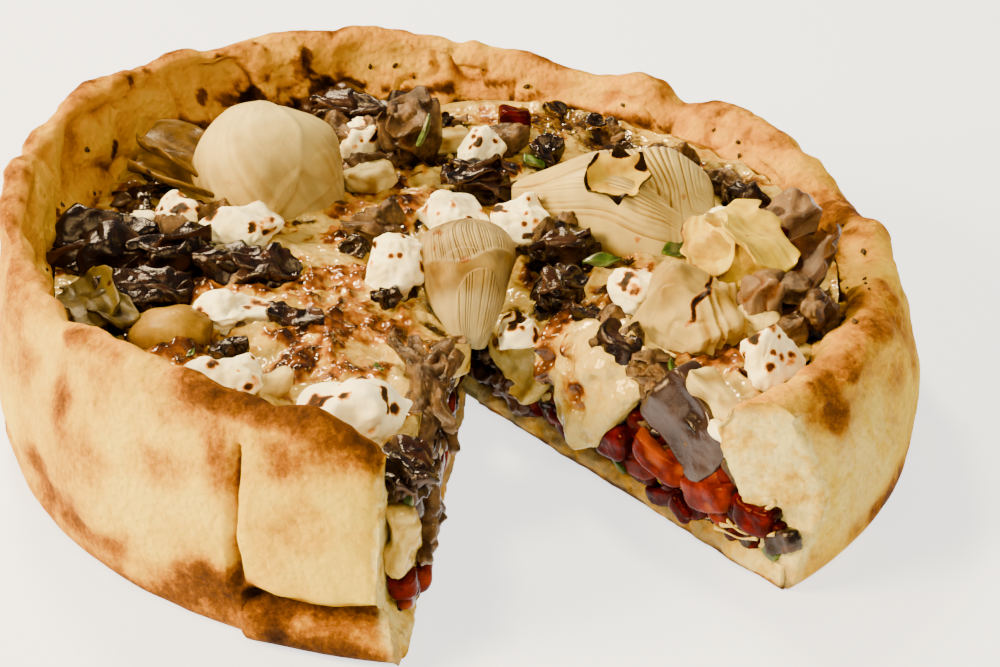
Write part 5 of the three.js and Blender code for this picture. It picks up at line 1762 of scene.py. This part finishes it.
def cheese_string(start, end, thickness, sag, seed):
    """A thread of cheese drawn out between two places, thick at its ends."""
    start, end = np.array(start, float), np.array(end, float)

    def skin(u, v):
        middle = start + (end - start) * v[..., None] - [0, 0, 1] * (sag * np.sin(np.pi * v))[..., None]
        middle = middle + 0.5 * np.stack([noise(middle, 5, seed + k) for k in range(3)], -1)
        radius = thickness * (0.35 + 0.65 * np.abs(2 * v - 1) ** 2.5)
        across = np.cross(end - start, [0, 0, 1.0])
        across /= np.linalg.norm(across)
        over = np.cross(end - start, across)
        over /= np.linalg.norm(over)
        turn = 2 * np.pi * u
        outwards = np.cos(turn)[..., None] * across + np.sin(turn)[..., None] * over
        return middle + radius[..., None] * outwards

    u, v = np.meshgrid(np.linspace(0, 1, STRING_ROWS + 1), np.linspace(0, 1, STRING_COLUMNS), indexing="ij")
    points = skin(u, v).reshape(-1, 3)
    starts = [row * STRING_COLUMNS for row in range(STRING_ROWS)]
    caps = [starts, [start + STRING_COLUMNS - 1 for start in starts][::-1]]
    return points, grid_faces(STRING_ROWS + 1, STRING_COLUMNS).tolist() + caps


# cut, radius, height and how far out for both ends, thickness and sag
STRINGS = [
    (("right", 73, 47, -1), ("right", 65, 28, 5), 1.3, 1.0),
    (("right", 75, 44, 0), ("right", 67, 27, 4.5), 0.8, 1.5),
    (("right", 106, 10, 2), ("right", 122, 25, 1), 1.0, 3.0),
    (("right", 104, 8, 2), ("right", 119, 13, 3), 0.7, 1.0),
    (("right", 108, 12, 2), ("right", 124, 17, 2), 0.7, 2.0),
    (("left", 112, 36, 2), ("left", 106, 18, 2), 1.2, 0.0),
]
parts = [
    cheese_string(at_cut(*start), at_cut(*end), thickness, sag, seed)
    for seed, (start, end, thickness, sag) in enumerate(STRINGS)
]
points, faces = joined(parts)
thing = make_piece("cheese_strings", points, faces, {"roast": 0.05, "bare": 0})
dress(thing, mozzarella, None, "melted_mozzarella")
print(len(STRINGS), "strings")

# %% [markdown]
# ### The torn base
#
# Where the slice was pulled away, the dough under the filling tore in lumps and stands a little out of
# the cut. It is a sheet like the drape, bent from the table up to the filling, in the finish of the
# crust.

# %% Torn base
BASE_COLUMNS, BASE_ROWS = 260, 14


def torn_base(cut, seed):
    """The lumpy edge of the dough under the filling, where the slice was pulled away."""

    def skin(side, u, v):
        radius = 9 + (BASE_RADIUS - 12) * u
        place = np.stack([radius, 8 * v, seed + 0 * u], -1)
        lumps = 1.4 * rough(place, 7, seed) + 0.5 * noise(place, 2, seed)
        rounded = np.sqrt(np.sin(np.pi * (0.02 + 0.96 * v)))
        out = (2.0 + lumps) * rounded if side > 0 else 0 * u - 2
        return at_cut(cut, radius, (BASE_THICKNESS + 0.8 + 0.8 * noise(place, 5, seed + 1) * v) * v, out)

    points, faces, u, v = between_sheets(BASE_COLUMNS, BASE_ROWS, skin)
    low, outer = 1 - rise(v + 0.15 * noise(points, 4, seed), 0.1, 0.4), rise(u, 0.75, 0.95)
    brown = 0.40 + 0.2 * low + 0.1 * (1 - rise(u, 0.1, 0.5)) + 0.2 * rough(points, 5, seed) - 0.2 * outer
    marks = {"brown": np.clip(brown, 0, 1), "crumb": (0.25 + 0.5 * outer) * (1 - low), "steamed": 0 * u}
    dress(make_piece(f"torn_base_{cut}", points, faces, marks), dough, None, "crust_dough")


torn_base("right", 81)
torn_base("left", 85)
print("torn base:", round(BASE_THICKNESS + 0.8, 1), "mm high")

# %% [markdown]
# ### Pieces in the cut faces
#
# The faces are packed with small pieces: peppers and tomato low down, aubergine above. Those that stand
# out have a place of their own in a table, as have the small pieces that lie on the cheese. The rest are
# many, so they are drawn from a seeded random generator, each in the part of the face where its kind
# belongs. All pieces of a kind become one mesh, because they share a finish and never move apart.

# %% Pieces in the cut faces
def rows_of(text):
    """A table written as plain text: words and numbers, one row to a line."""
    lines = text.strip().split("\n")
    return [[word if word.isalpha() else float(word) for word in line.split()] for line in lines]


# kind, cut, radius, height, how far out, length, width, thickness, roll and bend of the ones that stand out
CUT_PIECES = rows_of("""
orange right 76 13 1.5 15 6 7 -30 2
orange right 84 18 1.5 13 6 7 -20 2.5
orange right 99 19 1.5 16 6 7 -35 3
orange right 104 12 1.2 9 6 6 10 1
red right 74 23 0.5 10 6 8 20 1
red right 84 7 1.5 14 5 5 -24 1.5
red right 91 7.5 2.5 8 6 6 30 0.5
red right 96 10 1.2 10 5 6 -50 1
red right 110 16 1 13 5 8 -10 1.5
red right 88 26 0 9 5 8 40 1
red right 30 9 1 6 4 8 60 0.5
red right 60 14 -1.5 9 5 7 -20 1
red right 68 17 0.5 8 5 7 10 1
red right 122 15 0.5 6 5 7 0 0.5
dark right 62 42 1 15 8 11 10 1
dark right 113 9 0.5 9 5 6 0 1
dark right 125 14 1 7 5 9 60 0.5
dark right 104 26 -1 10 5 8 -60 1
dark right 18 12 0.5 10 6 8 -20 1
dark right 10 11 0 8 6 8 20 1
brown right 72 35 1 11 7 9 -20 1
brown right 80 40 0.5 10 7 7 10 1
brown right 66 25 0 8 6 7 30 1
brown right 45 8.5 0.5 9 4 3 -5 0.5
brown right 108 28 0.5 9 6 9 70 1
green right 67 10.5 3 8 1.6 1.4 40 0.6
green right 108 30 2 7 2.6 4 60 0.6
green right 84 45 0.5 8 1.5 1.5 50 1
green right 123 10 2 5 3 3 20 0.5
cream right 98 43 0.5 17 7 8 24 1
white right 104.5 37.5 3.5 9 3 5 10 0.5
cream right 75 20 1.5 4 3 4 0 0.3
cream right 89 18 2 4 3 4 30 0.3
dark left 108 32 1 12 7 14 70 1
dark left 97 26 1.5 12 7 10 60 1
dark left 80 30 1 14 7 10 30 1
brown left 101 17 1 10 7 12 80 1
brown left 92 12 1 10 6 8 20 1
brown left 76 20 1 12 7 9 10 1
cream left 113 22 1 14 6 7 80 1
cream left 106 9 1 9 6 5 0 1
orange left 112 12 2 7 5 6 40 1
red left 116 14 2.5 5 4 5 60 0.5
green left 112 40 1.5 8 3 8 60 0.5
red left 60 12 1 10 6 8 10 1
orange left 44 14 1 9 6 8 -20 1
""")
# kind, x, y, height, length, width, thickness, turn, roll and bend of small pieces that lie on the cheese
SMALL_TOPPINGS = rows_of("""
cream -29 48 45.5 15 12 7 10 0 -1
brown -29 54 45.5 15 6 9 10 0 1
brown -25 20 45 12 8 9 50 20 2
dark -32 6 44 9 5 6 -20 0 1
brown -75 20 46 12 7 8 10 15 2
brown -83 7 46.5 14 8 9 30 0 1
dark -45 -36 44.5 17 7 4 -8 0 1.5
dark -21 -21 43 10 6 4 30 0 1
dark -58 -53 44.5 9 5 5 10 0 1
dark -63 -57 44.5 6 5 5 60 0 1
cream -48 -71 44.5 12 7 6 20 0 0.5
brown 26 13 45.5 16 8 8 40 0 1
dark 57 11 47 9 6 4 30 20 1.5
brown 84 7 52 14 10 9 40 0 1
red 89 3 52 5 3 4 20 0 0.5
brown 92 -30 51 15 9 9 70 20 2
brown 95 -37 48.5 15 8 9 60 10 1.5
brown 88 -42 46.5 11 7 7 20 0 1
cream 81 -39 46.5 12 8 7 -10 0 0.5
brown 44 -38 42 15 8 9 -60 0 1.5
dark 36 -30 42.5 10 6 6 -20 0 1
brown 11 74 45.5 14 9 8 10 0 1
dark 24 68 45 12 8 7 60 0 1
brown -37 76 47 16 9 9 -20 0 1
cream -6 76 45.5 13 9 7 30 0 1
brown 76 46 46 14 8 8 -40 0 1
dark 84 34 46 13 8 9 -50 0 1
brown 62 62 46 14 9 8 -40 0 1
green -13 50 60 10 1.6 1.6 60 -50 1
green 66 12 48 9 5 3 20 10 1
""")
# cut, lowest and highest radius, lowest and highest height, share of each kind, and how many
PACKED = [
    ("right", 26, 118, 8, 20, {"red": 0.62, "orange": 0.18, "dark": 0.14, "cream": 0.06}, 130),
    ("right", 58, 108, 21, 36, {"brown": 0.5, "dark": 0.25, "red": 0.21, "cream": 0.04}, 70),
    ("right", 3, 26, 6, 24, {"dark": 0.7, "brown": 0.3}, 26),
    ("right", 100, 124, 8, 20, {"dark": 0.5, "red": 0.4, "cream": 0.1}, 20),
    ("left", 20, 112, 20, 37, {"brown": 0.6, "dark": 0.34, "cream": 0.06}, 80),
    ("left", 20, 118, 8, 20, {"red": 0.3, "orange": 0.1, "brown": 0.25, "cream": 0.1, "dark": 0.25}, 80),
]
CRUMPLED_KINDS = ("dark", "brown")
PACKED_FINISH = {
    "red": (red_pepper, "red_pepper"), "orange": (orange_pepper, "orange_pepper"),
    "dark": (aubergine_skin, "aubergine_skin"), "brown": (aubergine_flesh, "aubergine_flesh"),
    "cream": (artichoke_flesh, "artichoke_heart"), "white": (feta, "feta_cheese"),
    "green": (herb, "herb_leaf"),
}


def pack_the_cuts():
    """Makes one piece of each kind from the tables."""
    chance = np.random.default_rng(24)
    kinds = {kind: [] for kind in PACKED_FINISH}
    for number, (kind, cut, radius, height, out, *size, roll, bend) in enumerate(CUT_PIECES):
        points, faces = soft_strip(size, bend, number, boxy=0.5, detail=4)
        if kind in CRUMPLED_KINDS:
            points, _ = crumpled(points, min(size), number, 0.8)
        if kind == "cream":
            points, _ = crumpled(warped(points, 6, 1.6, number), min(size), number, 0.6)
        middle = at_cut(cut, radius, height, out - 0.3 * size[1])
        kinds[kind].append((placed(points, middle, 0, roll, AXIS_OF_CUT[cut]), faces))
    for number, (kind, x, y, height, *size, turn, roll, bend) in enumerate(SMALL_TOPPINGS):
        points, faces = soft_strip(size, bend, number + 60, boxy=0.4, detail=5)
        if kind in CRUMPLED_KINDS:
            points, _ = crumpled(warped(points, 6, 1.4, number), min(size), number, 1.0)
        if kind == "cream":
            points, _ = crumpled(warped(points, 7, 2.2, number), min(size), number, 0.5)
        kinds[kind].append((placed(points, (x, y, height), 0, roll, turn), faces))
    for cut, near, far, low, high, shares, count in PACKED:
        for _ in range(count):
            kind = chance.choice(list(shares), p=list(shares.values()))
            size = chance.uniform(3.0, 6.5) * np.array([chance.uniform(1, 2), 0.7, chance.uniform(0.6, 1.1)])
            points, faces = soft_strip(size, 0.3, int(chance.integers(99)), boxy=0.4, detail=3)
            if kind in CRUMPLED_KINDS:
                points, _ = crumpled(points, size.min(), int(chance.integers(999)), 1.2)
            radius, height = chance.uniform(near, far), chance.uniform(low, high)
            middle = at_cut(cut, radius, height, chance.uniform(-1.8, 0.4))
            tilt, roll = chance.uniform(-20, 20), chance.uniform(-50, 50)
            kinds[kind].append((placed(points, middle, tilt, roll, AXIS_OF_CUT[cut]), faces))
    for kind, parts in kinds.items():
        finish, slot_name = PACKED_FINISH[kind]
        points, faces = joined(parts)
        thing = make_piece(f"packed_{kind}_pieces", points, faces, merge=0.001)
        points, _ = points_of(thing)
        char = 0.2 * rise(noise(points, 4, 77), 0.3, 0.7)
        creamy = kind == "cream"
        pale = (0.5 + 0.4 * creamy) * rise(noise(points, 3.5, 78), 0.1 - 0.8 * creamy, 0.6)
        dress(thing, finish, None, slot_name, char=char, pale=pale)
        print(thing.name, len(parts), "pieces")


pack_the_cuts()

# %% [markdown]
# ## Scattered crumbs and flakes
#
# Between the toppings lie chopped vegetables, herb flakes and charred crumbs by the hundred. Geometry
# Nodes are made for this: one tree spreads points over a surface, denser where the surface is marked, and
# puts a copy of a small piece on each, turned and sized at random. Its result is then kept as a plain
# mesh.

# %% Scatter tree
def scatter_tree():
    """The tree: its inputs are the sizes, the surface, the small piece and the seed."""
    tree = bpy.data.node_groups.new("scatter_on_surface", "GeometryNodeTree")
    inputs = {
        "Surface": "Object", "Kind": "Object", "Mark": "String", "Amount": "Float", "Spacing": "Float",
        "Smallest": "Float", "Largest": "Float", "Lift": "Float", "Tumble": "Float", "Seed": "Int",
        "Finish": "Material",
    }
    for name, kind in inputs.items():
        tree.interface.new_socket(name, in_out="INPUT", socket_type="NodeSocket" + kind)
    tree.interface.new_socket("Geometry", in_out="OUTPUT", socket_type="NodeSocketGeometry")
    given = add(tree, "NodeGroupInput").outputs
    surface = add(tree, "GeometryNodeObjectInfo", {"Object": given["Surface"]})
    kind = add(tree, "GeometryNodeObjectInfo", {"Object": given["Kind"]})
    mark = add(tree, "GeometryNodeInputNamedAttribute", {"Name": given["Mark"]}, data_type="FLOAT")
    spread = add(
        tree,
        "GeometryNodeDistributePointsOnFaces",
        {
            "Mesh": surface.outputs["Geometry"], "Distance Min": given["Spacing"],
            "Density Max": given["Amount"], "Density Factor": mark.outputs["Attribute"],
            "Seed": given["Seed"],
        },
        distribute_method="POISSON",
    )
    rise_by = add(
        tree, "VectorMath", {0: spread.outputs["Normal"], "Scale": given["Lift"]}, operation="SCALE"
    )
    lifted = add(tree, "GeometryNodeSetPosition", {"Geometry": spread.outputs["Points"], "Offset": rise_by})
    back = add(tree, "Math", {0: given["Tumble"], 1: -1.0}, operation="MULTIPLY")
    least = add(tree, "CombineXYZ", {"X": back, "Y": back})
    most = add(tree, "CombineXYZ", {"X": given["Tumble"], "Y": given["Tumble"], "Z": 2 * math.pi})
    random_turn = add(
        tree, "FunctionNodeRandomValue",
        {"Min": least, "Max": most, "Seed": given["Seed"]}, data_type="FLOAT_VECTOR",
    )
    as_turn = add(tree, "FunctionNodeEulerToRotation", {0: random_turn})
    turned = add(
        tree, "FunctionNodeRotateRotation", {0: spread.outputs["Rotation"], 1: as_turn},
        rotation_space="LOCAL",
    )
    size = add(
        tree, "FunctionNodeRandomValue",
        {"Min": given["Smallest"], "Max": given["Largest"], "Seed": given["Seed"]}, data_type="FLOAT",
    )
    size_out = next(s for s in size.outputs if not s.is_unavailable)
    copies = add(
        tree, "GeometryNodeInstanceOnPoints",
        {"Points": lifted, "Instance": kind.outputs["Geometry"], "Rotation": turned, "Scale": size_out},
    )
    real = add(tree, "GeometryNodeRealizeInstances", {"Geometry": copies})
    painted = add(tree, "GeometryNodeSetMaterial", {"Geometry": real, "Material": given["Finish"]})
    add(tree, "NodeGroupOutput", {"Geometry": painted})
    return tree


SCATTER = scatter_tree()


def scatter(name, surface, kind, finish, slot_name, **settings):
    """Runs the tree on a surface and keeps the result as a plain mesh piece."""
    carrier = bpy.data.objects.new(name + "_carrier", bpy.data.meshes.new(name + "_carrier"))
    bpy.context.scene.collection.objects.link(carrier)
    modifier = carrier.modifiers.new("scatter", "NODES")
    modifier.node_group = SCATTER
    values = {"Surface": surface, "Kind": kind, "Finish": finish}
    values.update({key.replace("_", " ").title(): value for key, value in settings.items()})
    for item in SCATTER.interface.items_tree:
        if item.in_out == "INPUT" and item.name in values:
            modifier[item.identifier] = values[item.name]
    bpy.context.view_layer.update()
    depsgraph = bpy.context.evaluated_depsgraph_get()
    mesh = bpy.data.meshes.new_from_object(carrier.evaluated_get(depsgraph))
    mesh.name = name
    bpy.data.objects.remove(carrier)
    thing = show(name, mesh)
    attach(thing, "root")
    print(name, len(mesh.polygons), "faces")


print("scatter tree:", len(SCATTER.nodes), "nodes")

# %% [markdown]
# The small pieces are chopped bits, torn shreds, charred crumbs and herb flakes. Each has only as many
# faces as show at its size, because it is repeated hundreds of times. The marks say where each kind goes:
# shreds and bits where no cheese covers the vegetables and in the painted shadow round the toppings, where
# they darken the gaps further, crumbs and flakes everywhere on top, and crumbs at the foot of the wall.

# %% Small kinds
def small_kind(name, size, seed):
    """A crumpled crumb."""
    points, faces = lump(size, boxy=0.4, rough=0.2, seed=seed, detail=3)
    points, _ = crumpled(points, min(size), seed, 1.4)
    thing = make_piece(name, points, faces, {"char": 0, "pale": 0})
    points, _ = points_of(thing)
    set_mark(thing, "pale", 0.6 * rise(noise(points, 3, seed), 0.2, 0.7))
    return thing


def shred_kind(name, size, seed):
    """A torn strip, crushed."""
    points, faces, u, v = thin_leaf(
        (0, 0, 0), size, 0, cup=0.35, wave=0.2, bend=-1.2, blunt=0.4, seed=seed, torn=0.5, cells_across=8
    )
    points = warped(warped(points, 2.2, 0.7, seed), 1.0, 0.3, seed)
    underside = np.arange(len(u)) >= len(u) // 2
    return make_piece(name, points, faces, {"char": 0, "pale": 0.6 * underside, "roast": 0.15, "bare": 0})


def flake_kind(name, size, seed):
    """A curled leaf with a pale rib."""
    leaf = thin_leaf((0, 0, 0), size, 0, cup=0.25, wave=0.12, bend=2, seed=seed, cells_across=6)
    points, faces, u, v = leaf
    return make_piece(name, points, faces, {"char": 0, "pale": 0.4 * bump(2 * u - 1, 0.12)})


chopped = small_kind("chopped_bit", (1.7, 1.0, 0.8), 5)
shred = shred_kind("torn_shred", (1.1, 1.9, 0.45), 12)
crumb_bit = small_kind("charred_bit", (1.1, 0.8, 0.6), 8)
flake = flake_kind("herb_flake", (1.6, 3.4, 0.25), 3)
set_mark(cheese, "everywhere", mark_of(cheese, "side") * (1 - mark_of(cheese, "cut")))
# shreds go where the cheese is thin and into the painted shadow rings round the toppings, where they darken
# the gaps further
set_mark(cheese, "uncovered_and_shaded", mark_of(cheese, "everywhere") * rise(mark_of(cheese, "bare"), 0.3, 0.7))
wall = rise(mark_of(crust, "side"), 0.6, 0.9) * (1 - mark_of(crust, "cut"))
wall = wall * bump(points_of(crust)[0][:, 2] - 47, 7)
set_mark(crust, "wall_foot", wall)

# name, surface, kind, finish and slot; mark, most to the square metre, spacing in millimetres,
# smallest and largest size, lift in millimetres, tumble in radians, and seed
SCATTERED = [
    ("torn_brown_shreds", cheese, shred, aubergine_flesh, "aubergine_flesh",
     "uncovered_and_shaded", 3600.0, 4.4, 2.2, 5.0, 0.3, 0.6, 3),
    ("torn_dark_shreds", cheese, shred, aubergine_skin, "aubergine_skin",
     "uncovered_and_shaded", 2600.0, 4.8, 2.2, 5.4, 0.3, 0.6, 8),
    ("chopped_brown_bits", cheese, chopped, aubergine_flesh, "aubergine_flesh",
     "uncovered_and_shaded", 2000.0, 6, 2.0, 4.4, 0.2, 0.9, 5),
    ("charred_crumbs", cheese, crumb_bit, charcoal, "aubergine_skin",
     "everywhere", 900.0, 7, 0.5, 1.4, 0.2, 0.8, 2),
    ("herb_flakes", cheese, flake, herb, "herb_leaf",
     "everywhere", 900.0, 9, 0.6, 1.4, 0.5, 0.4, 4),
    ("crumbs_on_the_wall", crust, crumb_bit, charcoal, "aubergine_skin",
     "wall_foot", 5000.0, 3, 0.8, 2.2, 0.2, 0.8, 6),
]
for name, surface, kind, finish, slot_name, mark, most, gap, small, large, lift, tumble, seed in SCATTERED:
    scatter(
        name, surface, kind, finish, slot_name, mark=mark, amount=most, spacing=gap * MM,
        smallest=small, largest=large, lift=lift * MM, tumble=tumble, seed=seed,
    )
for kind in (chopped, shred, crumb_bit, flake):
    bpy.data.objects.remove(kind)

# %% [markdown]
# ## Floor, light and camera
#
# The pizza stands on a plain card that is so bright that it stays white where its own light falls off.
# The card gives off a little light itself, because a white dish or table does the same for food: it fills
# in the shadows under the rim.

# %% Floor
FLOOR, FLOOR_DROP = 3.0, 0.0002  # metres from the middle to each side, and below the pizza
CARD, CARD_GLOW = "#ccd2e0", 1.7

floor_mesh = bpy.data.meshes.new("floor")
corners = [(-FLOOR, -FLOOR, 0), (FLOOR, -FLOOR, 0), (FLOOR, FLOOR, 0), (-FLOOR, FLOOR, 0)]
floor_mesh.from_pydata(corners, [], [(0, 1, 2, 3)])
floor = bpy.data.objects.new("floor", floor_mesh)
floor.location.z = -FLOOR_DROP
bpy.context.scene.collection.objects.link(floor)
material, tree, shader, place = new_material("bright_white_card")
# matt card: no highlight, so it reads as an even white
card = {"Base Color": CARD, "Roughness": 0.9, "Emission Color": "#ffffff", "Emission Strength": CARD_GLOW}
fill(shader, card)
floor_mesh.materials.append(material)
floor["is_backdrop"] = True
print("floor:", 2 * FLOOR, "m wide")

# %% [markdown]
# ### Lights
#
# Food looks moist when bright things mirror in it, so a small warm light stands high behind it on the
# left and draws sharp highlights on cheese and oil. A strong soft light from the left shapes the crust,
# and a weak one in front opens the cut faces. An even sky lifts what is left in shadow.

# %% Lights
def soft_light(name, at, size, power, tint):
    """A square soft light that faces the pizza."""
    data = bpy.data.lights.new(name, "AREA")
    data.shape = "SQUARE"
    data.size = size
    data.energy = power
    data.color = paint(tint)[:3]
    lamp = bpy.data.objects.new(name, data)
    lamp.location = at
    lamp.rotation_euler = (-lamp.location).to_track_quat("-Z", "Y").to_euler()
    bpy.context.scene.collection.objects.link(lamp)


SKY, SKY_STRENGTH = "#ffffff", 0.22
# place in metres, size in metres, power in watts and tint
soft_light("softbox_behind", (-0.35, 0.80, 1.00), 0.22, 36, "#ffeac0")
soft_light("softbox_front", (0.30, -0.80, 1.15), 0.5, 17, "#ffe2a6")
soft_light("softbox_left", (-1.20, -0.40, 0.7), 0.6, 94, "#ffe2a6")
world = bpy.data.worlds.new("studio")
bpy.context.scene.world = world
world.use_nodes = True
fill(world.node_tree.nodes["Background"], {"Color": SKY, "Strength": SKY_STRENGTH})
print(len(bpy.data.lights), "lights")

# %% [markdown]
# ### Camera
#
# The camera looks down at thirty degrees through a long lens from 700 mm, which keeps the far rim nearly
# as large as the near one. It is rolled by about one degree, as a hand-held camera is. Its axes are
# worked out from the direction it looks in, because a Track To constraint would leave the roll to
# Blender.

# %% Camera
LENS, SENSOR = 85.7, 36.0  # millimetres
LOOKS_AT = np.array([10.7, 13.4, 12.0])
DISTANCE, ELEVATION, ROLL = 700.0, math.radians(30.04), math.radians(1.19)

back = np.array([0, -math.cos(ELEVATION), math.sin(ELEVATION)])
level = np.array([1.0, 0, 0])
upright = np.cross(back, level)
right = math.cos(ROLL) * level + math.sin(ROLL) * upright
upwards = math.cos(ROLL) * upright - math.sin(ROLL) * level
pose = np.eye(4)
pose[:3, :3] = np.column_stack([right, upwards, back])
pose[:3, 3] = (LOOKS_AT + DISTANCE * back) * MM
camera_data = bpy.data.cameras.new("camera")
camera_data.lens = LENS
camera_data.sensor_width = SENSOR
camera = bpy.data.objects.new("camera", camera_data)
camera.matrix_world = Matrix(pose.tolist())
bpy.context.scene.collection.objects.link(camera)
bpy.context.scene.camera = camera
print("camera at", pose[:3, 3].round(2), "m")

# %% [markdown]
# ## Sizes
#
# Last, the size of the dressed pizza is printed.

# %% Sizes
low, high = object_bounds()
print("visual box", [round((b - a) / MM) for a, b in zip(low, high)], "mm")
